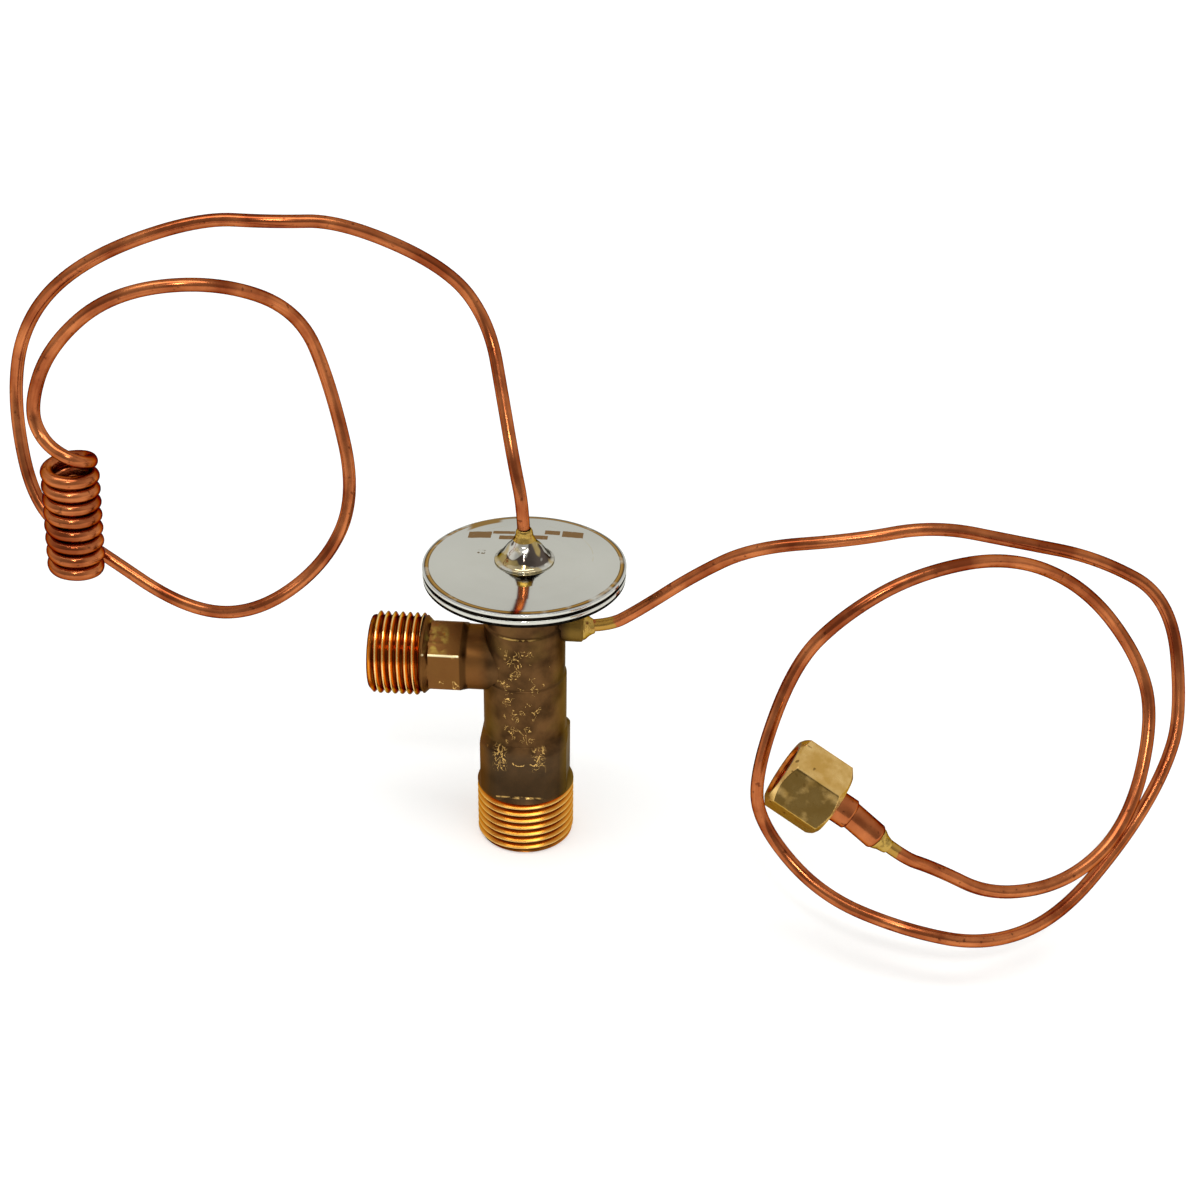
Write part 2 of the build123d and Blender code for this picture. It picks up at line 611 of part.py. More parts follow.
def capillary_adapter():
    """Steel bell that seats the capillary line on the upper cover."""
    hole_r = TUBE_D / 2 + TUBE_FIT
    lip_z = CROWN_Z + ADAPTER_LIP_THICKNESS
    waist_r = ADAPTER_WAIST_D / 2
    waist_z = CROWN_Z + ADAPTER_HEIGHT * 0.3
    dome_r = (waist_r + ADAPTER_TOP_D / 2) / 2 + 0.5
    dome_z = CROWN_Z + ADAPTER_HEIGHT * 0.75
    with BuildPart() as bell:
        with BuildSketch(Plane.XZ):
            with BuildLine():
                Polyline((hole_r, ADAPTER_TOP), (hole_r, CROWN_Z), (ADAPTER_D / 2, CROWN_Z),
                         (ADAPTER_D / 2, lip_z))
                Spline((ADAPTER_D / 2, lip_z), (waist_r, waist_z), (dome_r, dome_z),
                       (ADAPTER_TOP_D / 2, ADAPTER_TOP))
                Line((ADAPTER_TOP_D / 2, ADAPTER_TOP), (hole_r, ADAPTER_TOP))
            make_face()
        revolve(axis=Axis.Z)
    return bell.part


def braze_fillet(base_r, length, start, direction):
    """Cone of braze metal that thins out along a tube."""
    bore_r = TUBE_D / 2 + TUBE_FIT
    neck_r = bore_r + BRAZE_NECK
    fillet = ring_of([(bore_r, 0), (base_r, 0), (neck_r, length - BRAZE_NECK_LENGTH),
                      (neck_r, length), (bore_r, length)])
    return Plane(start, z_dir=direction) * fillet


def coil_points():
    """Corners of the sensing coil, which winds down anticlockwise from above."""
    corner_r = COIL_RADIUS / cos(pi / CORNERS_PER_TURN)
    points = []
    for corner in range(int(COIL_TURNS * CORNERS_PER_TURN) + 1):
        angle = COIL_FIRST_ANGLE + corner * 360 / CORNERS_PER_TURN
        turns_down = (angle - COIL_TOP_ANGLE) / 360
        points.append((
            COIL_TOP[0] + COIL_LEAN * turns_down + corner_r * cos(radians(angle)),
            COIL_TOP[1] + corner_r * sin(radians(angle)),
            COIL_TOP[2] - COIL_PITCH * turns_down))
    return points


def capillary_tube():
    """Copper line from the power head, ending in the tight sensing coil."""
    start = (0, 0, CROWN_Z - CAPILLARY_START_BELOW_ADAPTER)
    return swept_tube([start] + CAPILLARY_ROUTE + coil_points(), TUBE_D)


def nut_frame():
    """Plane at the nut's mouth, with its normal down the nut towards the tube."""
    return Plane(NUT_MOUTH, z_dir=NUT_AXIS)


def stub_frame():
    """Plane at the sleeve's end, with its normal down the bent-over stub."""
    sleeve_end = nut_frame().offset(NUT_LENGTH + SLEEVE_BEYOND_NUT).origin
    return Plane(sleeve_end, z_dir=STUB_AXIS)


def equalizer_tube():
    """Copper line from the boss, round in a double loop to the flare stub."""
    start = (BOSS_REACH - EQUALIZER_SOCKET_DEPTH, 0, BOSS_Z)
    stub = stub_frame()
    lead_in = stub.offset(STUB_LENGTH + STUB_LEAD_IN).origin
    inner_end = stub.offset(STUB_LENGTH - STUB_SOCKET_DEPTH).origin
    return swept_tube([start] + EQUALIZER_ROUTE + [lead_in, inner_end], TUBE_D)


def flare_stub():
    """Copper end piece: flare in the nut, sleeve through it, and a reduced end."""
    sleeve_r = SLEEVE_D / 2
    stub_r = STUB_D / 2
    bore_r = sleeve_r - FLARE_WALL
    flare_r = NUT_THREAD_BORE_D / 2 - FLARE_FIT
    cone_run = (flare_r - sleeve_r) / tan(radians(FLARE_ANGLE))
    cone_end = NUT_THREAD_DEPTH - REST_GAP
    lip_start = cone_end - cone_run - FLARE_LIP
    sleeve_end = NUT_LENGTH + SLEEVE_BEYOND_NUT
    sleeve = ring_of([
        (flare_r - FLARE_WALL, lip_start),
        (flare_r, lip_start),
        (flare_r, lip_start + FLARE_LIP),
        (sleeve_r, cone_end),
        (sleeve_r, sleeve_end - STUB_STEP_CHAMFER),
        (sleeve_r - STUB_STEP_CHAMFER, sleeve_end),
        (0, sleeve_end),
        (0, sleeve_end - STUB_ROOT),
        (bore_r, sleeve_end - STUB_ROOT),
        (bore_r, cone_end),
        (flare_r - FLARE_WALL, lip_start + FLARE_LIP),
    ])
    reduced = ring_of([
        (0, -STUB_ROOT),
        (stub_r, -STUB_ROOT),
        (stub_r, STUB_LENGTH - STUB_END_ROUND),
        (stub_r - STUB_END_ROUND, STUB_LENGTH),
        (0, STUB_LENGTH),
    ])
    socket = rod(TUBE_D + 2 * TUBE_FIT, STUB_SOCKET_DEPTH,
                 (0, 0, STUB_LENGTH - STUB_SOCKET_DEPTH))
    return nut_frame() * sleeve + stub_frame() * (reduced - socket)


def flare_nut():
    """Hexagon nut, threaded at the mouth and free to turn on the stub's sleeve."""
    corner_r = NUT_ACROSS_FLATS / 2 / cos(radians(30))
    flat_r = NUT_ACROSS_FLATS / 2
    sleeve_bore_r = SLEEVE_D / 2 + SLEEVE_FIT
    thread_r = NUT_THREAD_BORE_D / 2
    seat_run = (thread_r - sleeve_bore_r) / tan(radians(FLARE_ANGLE))
    hexagon = hexagon_bar(NUT_ACROSS_FLATS, NUT_LENGTH, Plane.XY, NUT_HEX_TURN)
    envelope = ring_of([
        (0, 0),
        (flat_r - NUT_CORNER_CHAMFER / 2, 0),
        (corner_r, NUT_CORNER_CHAMFER),
        (corner_r, NUT_LENGTH - NUT_CORNER_CHAMFER),
        (flat_r - NUT_CORNER_CHAMFER / 2, NUT_LENGTH),
        (0, NUT_LENGTH),
    ])
    bore = ring_of([
        (0, 0),
        (thread_r + NUT_MOUTH_CHAMFER, 0),
        (thread_r, NUT_MOUTH_CHAMFER),
        (thread_r, NUT_THREAD_DEPTH - seat_run),
        (sleeve_bore_r, NUT_THREAD_DEPTH),
        (sleeve_bore_r, NUT_LENGTH),
        (0, NUT_LENGTH),
    ])
    return nut_frame() * ((hexagon & envelope) - bore)


def capillary_braze():
    """Braze collar where the capillary line leaves its adapter."""
    return braze_fillet(ADAPTER_TOP_D / 2, CAPILLARY_BRAZE_HEIGHT, (0, 0, ADAPTER_TOP),
                        (0, 0, 1))


def equalizer_braze():
    """Braze cone between the boss and the equalizer line."""
    return braze_fillet(BOSS_D / 2 - BOSS_EDGE_CHAMFER, EQUALIZER_BRAZE_LENGTH,
                        (BOSS_REACH, 0, BOSS_Z), (1, 0, 0))


def stub_braze():
    """Braze fillet between the stub's end and the equalizer line."""
    end = stub_frame().offset(STUB_LENGTH)
    return braze_fillet(STUB_D / 2 - STUB_END_ROUND, STUB_BRAZE_LENGTH, end.origin, STUB_AXIS)


PIECES = {
    "valve_body": valve_body,
    "lower_cover": lower_cover,
    "upper_cover": upper_cover,
    "diaphragm": diaphragm,
    "power_head_gasket": power_head_gasket,
    "thrust_pad": thrust_pad,
    "push_rod": push_rod,
    "rod_seal": rod_seal,
    "seal_retainer": seal_retainer,
    "valve_seat": valve_seat,
    "valve_ball": valve_ball,
    "ball_carrier": ball_carrier,
    "superheat_spring": superheat_spring,
    "spring_seat": spring_seat,
    "adjusting_nut": adjusting_nut,
    "inlet_strainer": inlet_strainer,
    "strainer_ring": strainer_ring,
    "capillary_adapter": capillary_adapter,
    "capillary_braze": capillary_braze,
    "capillary_tube": capillary_tube,
    "equalizer_tube": equalizer_tube,
    "equalizer_braze": equalizer_braze,
    "flare_stub": flare_stub,
    "stub_braze": stub_braze,
    "flare_nut": flare_nut,
}

os.makedirs("parts", exist_ok=True)
for name, make_piece in PIECES.items():
    export_step(make_piece(), f"parts/{name}.step")
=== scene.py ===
import math

import bmesh
import bpy
import numpy as np
from mathutils import Matrix, Vector


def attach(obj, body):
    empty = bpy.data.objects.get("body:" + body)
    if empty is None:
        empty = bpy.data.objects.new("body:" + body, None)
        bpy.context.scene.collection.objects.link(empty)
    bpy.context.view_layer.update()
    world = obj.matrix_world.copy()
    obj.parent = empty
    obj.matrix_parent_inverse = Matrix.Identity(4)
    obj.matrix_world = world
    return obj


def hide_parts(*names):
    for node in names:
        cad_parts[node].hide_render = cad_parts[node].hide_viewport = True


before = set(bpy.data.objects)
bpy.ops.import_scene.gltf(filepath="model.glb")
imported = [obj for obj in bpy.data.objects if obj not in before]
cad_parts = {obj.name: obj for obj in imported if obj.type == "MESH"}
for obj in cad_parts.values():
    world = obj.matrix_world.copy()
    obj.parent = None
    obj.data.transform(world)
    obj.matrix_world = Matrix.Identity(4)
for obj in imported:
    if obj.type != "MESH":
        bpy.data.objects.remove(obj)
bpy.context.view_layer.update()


# Camera: the valve is seen from the front, about 30 degrees above it, through a lens
# of about 58 mm on a 36 mm wide frame. The frame is square, with no shift and no blur.
CAMERA_PLACE = (0.033371, -0.312216, 0.235759)
CAMERA_RIGHT = (0.99743741, 0.0699582, 0.01498222)
CAMERA_DOWN = (0.04815549, -0.50160055, -0.86375803)
CAMERA_AHEAD = (-0.05291187, 0.86226605, -0.50368403)
FRAME_WIDTH_MM = 36.0
FRAME_WIDTH_PX = 1200
FOCAL_PX = 1928.05

camera = bpy.data.objects.new("camera", bpy.data.cameras.new("camera"))
bpy.context.collection.objects.link(camera)
camera.data.sensor_width = FRAME_WIDTH_MM
camera.data.lens = FRAME_WIDTH_MM * FOCAL_PX / FRAME_WIDTH_PX
camera.data.clip_start = 0.01
camera_axes = [
    (right, -down, -ahead, place)
    for right, down, ahead, place in zip(CAMERA_RIGHT, CAMERA_DOWN, CAMERA_AHEAD, CAMERA_PLACE)]
camera.matrix_world = Matrix(camera_axes + [(0, 0, 0, 1)])
bpy.context.scene.camera = camera
bpy.context.scene.view_settings.view_transform = "Standard"


# Studio: a pale sweep of matt board under the valve, walls that are light at eye level
# and darker overhead and behind the camera, a long soft box above, and one small lamp in front for the glints.
FLOOR_SIDE = 4.0
FLOOR_GREY = "#E4E4E2"
FLOOR_GLOW = 0.34
FAR_GLOW = 0.60
WALL_SHADES = [(0.0, "#F4F4F4"), (0.12, "#ECEDEE"), (0.5, "#EEEEEC"), (0.75, "#DEDEDD"),
               (1.0, "#CACBCC")]
BOX_PLACE = (-0.05, -0.22, 1.05)
BOX_SIZE = (0.95, 0.34)
BOX_WATTS = 4.0
GLINT_PLACE = (0.077, -0.74, 0.86)
GLINT_SIZE = (0.11, 0.11)
GLINT_WATTS = 2.2
LAMP_AIM = (0.0, 0.0, 0.05)


def linear(hex_colour):
    """The linear red, green, blue and alpha of an sRGB hex colour."""
    parts = [int(hex_colour[i:i + 2], 16) / 255 for i in (1, 3, 5)]
    return [p / 12.92 if p <= 0.04045 else ((p + 0.055) / 1.055) ** 2.4 for p in parts] + [1]


def add(tree, kind, settings=None, links=None):
    """Adds a node to a tree, with its properties or colour stops, its values and links."""
    made = tree.nodes.new(kind)
    for name, value in (settings or {}).items():
        if name == "stops":
            stops = made.color_ramp.elements
            for place, colour in value[1:-1]:
                stops.new(place)
            for stop, (place, colour) in zip(stops, value):
                stop.position = place
                stop.color = linear(colour)
        else:
            setattr(made, name, value)
    for name, value in (links or {}).items():
        if isinstance(value, bpy.types.Node):
            value = value.outputs[0]
        if isinstance(value, bpy.types.NodeSocket):
            tree.links.new(value, made.inputs[name])
        else:
            made.inputs[name].default_value = value
    return made


floor_mesh = bpy.data.meshes.new("floor")
half_floor = FLOOR_SIDE / 2
floor_mesh.from_pydata([(-half_floor, -half_floor, -0.0001), (half_floor, -half_floor, -0.0001),
                        (half_floor, half_floor, -0.0001), (-half_floor, half_floor, -0.0001)],
                       [], [(0, 1, 2, 3)])
floor = bpy.data.objects.new("floor", floor_mesh)
bpy.context.collection.objects.link(floor)
floor_paint = bpy.data.materials.new("matt_board")
floor_paint.use_nodes = True
floor_tree = floor_paint.node_tree
floor_tree.nodes.clear()
board = add(floor_tree, "ShaderNodeBsdfDiffuse", links={"Color": linear(FLOOR_GREY)})
ray = add(floor_tree, "ShaderNodeLightPath")
seen = add(floor_tree, "ShaderNodeMath", {"operation": "MAXIMUM"},
           {0: ray.outputs["Is Camera Ray"], 1: ray.outputs["Is Glossy Ray"]})
seen = add(floor_tree, "ShaderNodeMath", {"operation": "MAXIMUM"},
           {0: seen, 1: ray.outputs["Is Transmission Ray"]})
away = add(floor_tree, "ShaderNodeVectorMath", {"operation": "LENGTH"}, {
    0: add(floor_tree, "ShaderNodeTexCoord").outputs["Object"]})
glow_level = add(floor_tree, "ShaderNodeMapRange", links={
    "Value": away.outputs["Value"], "From Min": 0.15, "From Max": 1.1,
    "To Min": FLOOR_GLOW, "To Max": FAR_GLOW})
glow = add(floor_tree, "ShaderNodeEmission", links={
    "Color": linear("#FFFFFF"),
    "Strength": add(floor_tree, "ShaderNodeMath", {"operation": "MULTIPLY"},
                    {0: seen, 1: glow_level})})
both = add(floor_tree, "ShaderNodeAddShader", links={0: board, 1: glow})
add(floor_tree, "ShaderNodeOutputMaterial", links={"Surface": both})
floor_mesh.materials.append(floor_paint)

world = bpy.data.worlds.new("studio_walls")
bpy.context.scene.world = world
world.use_nodes = True
wall_tree = world.node_tree
wall_tree.nodes.clear()
way = add(wall_tree, "ShaderNodeSeparateXYZ", links={
    "Vector": add(wall_tree, "ShaderNodeTexCoord").outputs["Generated"]})
shade = add(wall_tree, "ShaderNodeValToRGB", {"stops": WALL_SHADES}, {"Fac": way.outputs["Z"]})
behind_camera = add(wall_tree, "ShaderNodeMapRange", {"interpolation_type": "SMOOTHSTEP"}, {
    "Value": way.outputs["Y"], "From Min": -0.85, "From Max": -0.10, "To Min": 0.5})
walls = add(wall_tree, "ShaderNodeBackground", links={
    "Color": shade, "Strength": behind_camera})
add(wall_tree, "ShaderNodeOutputWorld", links={"Surface": walls})

for lamp_name, place, size, watts in (
        ("soft_box", BOX_PLACE, BOX_SIZE, BOX_WATTS),
        ("glint_lamp", GLINT_PLACE, GLINT_SIZE, GLINT_WATTS)):
    lamp_data = bpy.data.lights.new(lamp_name, "AREA")
    lamp_data.shape = "RECTANGLE"
    lamp_data.size, lamp_data.size_y = size
    lamp_data.energy = watts
    lamp = bpy.data.objects.new(lamp_name, lamp_data)
    bpy.context.collection.objects.link(lamp)
    lamp.location = place
    aim = Vector(LAMP_AIM) - Vector(place)
    lamp.rotation_euler = aim.to_track_quat("-Z", "Y").to_euler()


# Valve body: one brass forging, turned and milled, with two rolled flare threads. Hot
# forming and storage have tarnished it brown; handling has scratched it back to gold.
MM = 0.001
TURNED_SIDES = 240
OUTLET_THREAD_R = 9.525
OUTLET_PITCH = 1.5875
OUTLET_THREAD_END = 11.9
OUTLET_THREAD_DEPTH = 0.86
SHOULDER_TOP = 13.1
WRENCH_HALF = 8.45
WRENCH_R = 9.7
INLET_Z = 39.54
INLET_THREAD_R = 7.9375
INLET_PITCH = 1.4111
INLET_THREAD_DEPTH = 0.76
INLET_THREAD_START = 19.5
INLET_END = 29.5
INLET_ROOT_R = 6.3
HEX_HALF = 6.5
HEX_R = 7.5
HEX_START = 11.7
HEX_END = 17.9
HEX_RUN_OUT = 1.3
HEX_CORNER = (-6.45, 43.26)
BLUNT = 0.12
BOSS_R = 3.05
BOSS_END = 11.4
BOSS_Z = 47.5


def eased(points, ease):
    """Rounds each inner corner of a (radius, height) outline with a five-step curve."""
    rows = [points[0]]
    for before, corner, after in zip(points, points[1:], points[2:]):
        corner = np.array(corner, float)
        run_in = np.array(before, float) - corner
        run_out_painted_shade = np.array(after, float) - corner
        reach = min(ease, 0.45 * np.linalg.norm(run_in), 0.45 * np.linalg.norm(run_out_painted_shade))
        start = corner + run_in / np.linalg.norm(run_in) * reach
        end = corner + run_out_painted_shade / np.linalg.norm(run_out_painted_shade) * reach
        for share in np.linspace(0, 1, 6):
            here = (start * (1 - share) ** 2 + corner * 2 * share * (1 - share)
                    + end * share ** 2)
            rows.append(tuple(here))
    rows.append(points[-1])
    return rows


def flats(half_width, corner_r, count, turn_degrees=0.0, sides=TURNED_SIDES):
    """How far a bar with flats and slightly blunted corners reaches at each angle, in mm."""
    angle = np.linspace(0, 2 * math.pi, sides + 1)
    step = 2 * math.pi / count
    off = (angle - math.radians(turn_degrees) + step / 2) % step - step / 2
    flat = half_width / np.cos(off)
    share = np.clip(0.5 + (corner_r - flat) / (2 * BLUNT), 0, 1)
    return corner_r * (1 - share) + flat * share - BLUNT * share * (1 - share)


def thread_rows(crest_r, depth, pitch, low, high, ends, sides=TURNED_SIDES, inside=False):
    """Rows of a right-hand vee thread, each one following the helix, cut off at both ends."""
    shape = [(0.0, 0), (0.10, 0), (0.15, 0.10), (0.43, 0.92), (0.50, 1), (0.60, 1),
             (0.67, 0.92), (0.95, 0.10)]
    angle = np.linspace(0, 1, sides + 1)
    stations = np.array([place for place, _ in shape] + [1.0])
    cuts = np.array([cut for _, cut in shape] + [0.0])
    rows = []
    turns = int(math.ceil((high - low) / pitch)) + 1
    for turn in range(-1, turns):
        for place, _ in shape:
            height = np.clip(low + (turn + place + angle) * pitch, low, high)
            phase = ((height - low) / pitch - angle) % 1.0
            cut = np.interp(phase, stations, cuts) * depth
            if inside:
                radius = crest_r + cut
            else:
                radius = np.minimum(crest_r - cut, np.interp(height, *ends))
            rows.append((radius, height))
    return rows


def skin(rows, place, finish, sides=TURNED_SIDES, closed=True):
    """One turned skin: rows of (radius, height) in mm about an axis that place gives."""
    angle = np.linspace(0, 2 * math.pi, sides + 1)
    points = []
    for radius, height in rows:
        radius = np.broadcast_to(radius, angle.shape)
        height = np.broadcast_to(height, angle.shape)
        ring = np.stack([radius * np.cos(angle), radius * np.sin(angle), height,
                         np.full(angle.shape, 1 / MM)], axis=1)
        points.append(ring @ np.array(place).T[:, :3] * MM)
    across = sides + 1
    last = len(rows) if closed else len(rows) - 1
    faces = []
    for row in range(last):
        above = (row + 1) % len(rows)
        for side in range(sides):
            faces.append((row * across + side, row * across + side + 1,
                          above * across + side + 1, above * across + side))
    kinds = finish if isinstance(finish, list) else [finish] * len(rows)
    marks = [kinds[row] for row in range(last) for _ in range(sides)]
    return np.concatenate(points), faces, marks


def solid(name, skins, materials, sharp_degrees=23.0):
    """Makes one object of several turned skins, merged, facing outwards and smooth."""
    mesh = bpy.data.meshes.new(name)
    points, faces, marks = [], [], []
    for skin_points, skin_faces, skin_marks in skins:
        offset = len(points)
        points.extend(skin_points.tolist())
        faces.extend([tuple(index + offset for index in face) for face in skin_faces])
        marks.extend(skin_marks)
    mesh.from_pydata(points, [], faces)
    for material in materials:
        mesh.materials.append(material)
    mesh.polygons.foreach_set("material_index", marks)
    work = bmesh.new()
    work.from_mesh(mesh)
    bmesh.ops.remove_doubles(work, verts=work.verts, dist=2e-6)
    bmesh.ops.dissolve_degenerate(work, edges=work.edges, dist=1e-6)
    bmesh.ops.recalc_face_normals(work, faces=work.faces)
    work.to_mesh(mesh)
    work.free()
    mesh.shade_smooth()
    mesh.set_sharp_from_angle(angle=math.radians(sharp_degrees))
    made = bpy.data.objects.new(name, mesh)
    bpy.context.collection.objects.link(made)
    return made


def metal(name, base, roughness, edge="#FFFFFF"):
    """A bare metal material with its tree, its shader and its Object coordinates."""
    material = bpy.data.materials.new(name)
    material.use_nodes = True
    tree = material.node_tree
    tree.nodes.clear()
    shader = add(tree, "ShaderNodeBsdfPrincipled", links={
        "Base Color": linear(base), "Metallic": 1.0, "Roughness": roughness,
        "Specular Tint": linear(edge)})
    add(tree, "ShaderNodeOutputMaterial", links={"Surface": shader})
    place = add(tree, "ShaderNodeTexCoord").outputs["Object"]
    return material, tree, shader, place


def noise(tree, place, scale, low, high, top=1.0, detail=3.0, wander=0.0):
    """A share from 0 to top that a cloud of noise gives between two of its levels."""
    cloud = add(tree, "ShaderNodeTexNoise", links={
        "Vector": place, "Scale": scale, "Detail": detail, "Distortion": wander})
    return add(tree, "ShaderNodeMapRange", links={
        "Value": cloud, "From Min": low, "From Max": high, "To Max": top})


def between(tree, value, rise_start, rise_end, fall_start, fall_end):
    """A share that rises from 0 to 1 and falls back to 0 along a length in metres."""
    rise = add(tree, "ShaderNodeMapRange", {"interpolation_type": "SMOOTHSTEP"}, {
        "Value": value, "From Min": rise_start, "From Max": rise_end})
    fall = add(tree, "ShaderNodeMapRange", {"interpolation_type": "SMOOTHSTEP"}, {
        "Value": value, "From Min": fall_end, "From Max": fall_start})
    return add(tree, "ShaderNodeMath", {"operation": "MULTIPLY"}, {0: rise, 1: fall})


def product(tree, *shares):
    """All the shares multiplied together."""
    result = shares[0]
    for share in shares[1:]:
        result = add(tree, "ShaderNodeMath", {"operation": "MULTIPLY"}, {0: result, 1: share})
    return result


def blend(tree, share, under, over):
    """One colour laid over another by a share."""
    colours = [linear(colour) if isinstance(colour, str) else colour for colour in (under, over)]
    return add(tree, "ShaderNodeMixRGB", links={
        "Fac": share, "Color1": colours[0], "Color2": colours[1]})


# Tarnished forged brass: brown oxide in clouds of about 5 mm, redder on the inlet and
# greyer on the wrench flats, an olive bloom, pits of 0.5 mm, and curled gold scratches
# about 0.15 mm wide where it was handled, with worn gold edges at the neck and the flats.
# Painted shade darkens the run-out of the inlet hexagon, and a painted highlight, pale
# near white, runs along the hexagon's worn front corner.
tarnished_brass, tree, shader, place = metal("tarnished_forged_brass", "#5A4026", 0.46, "#B4AEA4")
axes = add(tree, "ShaderNodeSeparateXYZ", links={"Vector": place})
across, deep, up = axes.outputs["X"], axes.outputs["Y"], axes.outputs["Z"]
brown = blend(tree, noise(tree, place, 190.0, 0.36, 0.66, detail=6.0), "#402C19", "#6E4E2E")
on_inlet = add(tree, "ShaderNodeMapRange", links={
    "Value": across, "From Min": -0.0060, "From Max": -0.0085, "To Max": 0.70})
on_wrench = between(tree, up, 0.0115, 0.0130, 0.0215, 0.0245)
brown = blend(tree, product(tree, on_wrench, 0.6), brown, "#50402E")
on_boss = add(tree, "ShaderNodeMapRange", links={
    "Value": across, "From Min": 0.0072, "From Max": 0.0090, "To Max": 0.7})
brown = blend(tree, on_boss, brown, "#86692E")
olive = blend(tree, noise(tree, place, 75.0, 0.52, 0.70, 0.6), brown, "#7C6230")
olive = blend(tree, on_inlet, olive, "#7E5028")
# Painted shade: a dark band in the run-out where the hexagon blends into the round root.
run_out_painted_shade = between(tree, across, -0.0120, -0.0117, -0.0109, -0.0104)
olive = blend(tree, product(tree, run_out_painted_shade, 0.6), olive, "#2A1A0C")
foot = between(tree, up, 0.0118, 0.0130, 0.0160, 0.0200)
olive = blend(tree, product(tree, foot, 0.35), olive, "#241809")
near_patch = product(
    tree, between(tree, across, -0.0190, -0.0182, -0.0150, -0.0138),
    between(tree, up, 0.0430, 0.0442, 0.0455, 0.0470),
    noise(tree, place, 520.0, 0.46, 0.60))
olive = blend(tree, near_patch, olive, "#A0853E")

front = add(tree, "ShaderNodeMapRange", {"interpolation_type": "SMOOTHSTEP"}, {
    "Value": deep, "From Min": -0.0040, "From Max": -0.0062})
rubbed = product(tree, front, between(tree, across, -0.0042, -0.0028, 0.0018, 0.0040),
                 between(tree, up, 0.0235, 0.0262, 0.0452, 0.0470))
brushed = product(tree, front, between(tree, across, -0.0064, -0.0044, 0.0064, 0.0078),
                  between(tree, up, 0.0240, 0.0270, 0.0450, 0.0472), 0.35)
handled = add(tree, "ShaderNodeMath", {"operation": "MAXIMUM"}, {0: rubbed, 1: brushed})
curls = add(tree, "ShaderNodeTexNoise", links={
    "Vector": place, "Scale": 560.0, "Detail": 1.5, "Distortion": 1.9})
curl_line = add(tree, "ShaderNodeMath", {"operation": "COMPARE"}, {0: curls, 1: 0.52, 2: 0.014})
patches = add(tree, "ShaderNodeTexNoise", links={"Vector": place, "Scale": 520.0, "Detail": 0.0})
patch_level = add(tree, "ShaderNodeMapRange", links={
    "Value": handled, "To Min": 0.80, "To Max": 0.515})
patch_on = add(tree, "ShaderNodeMath", {"operation": "GREATER_THAN"}, {0: patches, 1: patch_level})
scratched = product(tree, curl_line, patch_on)

# Two rubbed spots on the front flat, joined by one long sagging scratch.
FLAT_ARC = (-0.0002, 0.0232, 0.0044, 0.0028)
arc_x = add(tree, "ShaderNodeMath", {"operation": "MULTIPLY_ADD"}, {
    0: across, 1: 1 / FLAT_ARC[2], 2: -FLAT_ARC[0] / FLAT_ARC[2]})
arc_z = add(tree, "ShaderNodeMath", {"operation": "MULTIPLY_ADD"}, {
    0: up, 1: 1 / FLAT_ARC[3], 2: -FLAT_ARC[1] / FLAT_ARC[3]})
ragged = add(tree, "ShaderNodeTexNoise", links={"Vector": place, "Scale": 700.0, "Detail": 2.0})
arc_length = add(tree, "ShaderNodeVectorMath", {"operation": "LENGTH"}, {
    0: add(tree, "ShaderNodeCombineXYZ", links={"X": arc_x, "Y": arc_z})})
arc_wander = add(tree, "ShaderNodeMath", {"operation": "MULTIPLY_ADD"}, {
    0: ragged, 1: 0.80, 2: arc_length.outputs["Value"]})
arc_line = add(tree, "ShaderNodeMath", {"operation": "COMPARE"}, {0: arc_wander, 1: 1.40, 2: 0.035})
on_flat = product(tree, front, between(tree, up, 0.0188, 0.0196, 0.0238, 0.0246))
spot_left = between(tree, across, -0.0058, -0.0048, -0.0034, -0.0024)
spot_right = between(tree, across, 0.0018, 0.0028, 0.0040, 0.0050)
spots = add(tree, "ShaderNodeMath", {"operation": "MAXIMUM"}, {0: spot_left, 1: spot_right})
flat_curls = add(tree, "ShaderNodeMath", {"operation": "COMPARE"}, {0: curls, 1: 0.50, 2: 0.018})
flat_marks = add(tree, "ShaderNodeMath", {"operation": "MAXIMUM"}, {
    0: product(tree, arc_line, on_flat, noise(tree, place, 900.0, 0.46, 0.50)),
    1: product(tree, flat_curls, spots, on_flat)})

edge_noise = noise(tree, place, 650.0, 0.44, 0.54)
neck_edge = product(tree, between(tree, up, 0.04802, 0.04808, 0.04826, 0.04834),
                    between(tree, across, -0.0046, -0.0030, 0.0010, 0.0034))
foot_edge = between(tree, up, 0.01268, 0.01275, 0.01302, 0.01310)
on_foot = add(tree, "ShaderNodeMath", {"operation": "LESS_THAN"}, {0: deep, 1: -0.00835})
edge_wear_and_highlight = add(tree, "ShaderNodeMath", {"operation": "MAXIMUM"}, {
    0: product(tree, neck_edge, front, edge_noise),
    1: product(tree, foot_edge, on_foot, edge_noise, 0.6)})
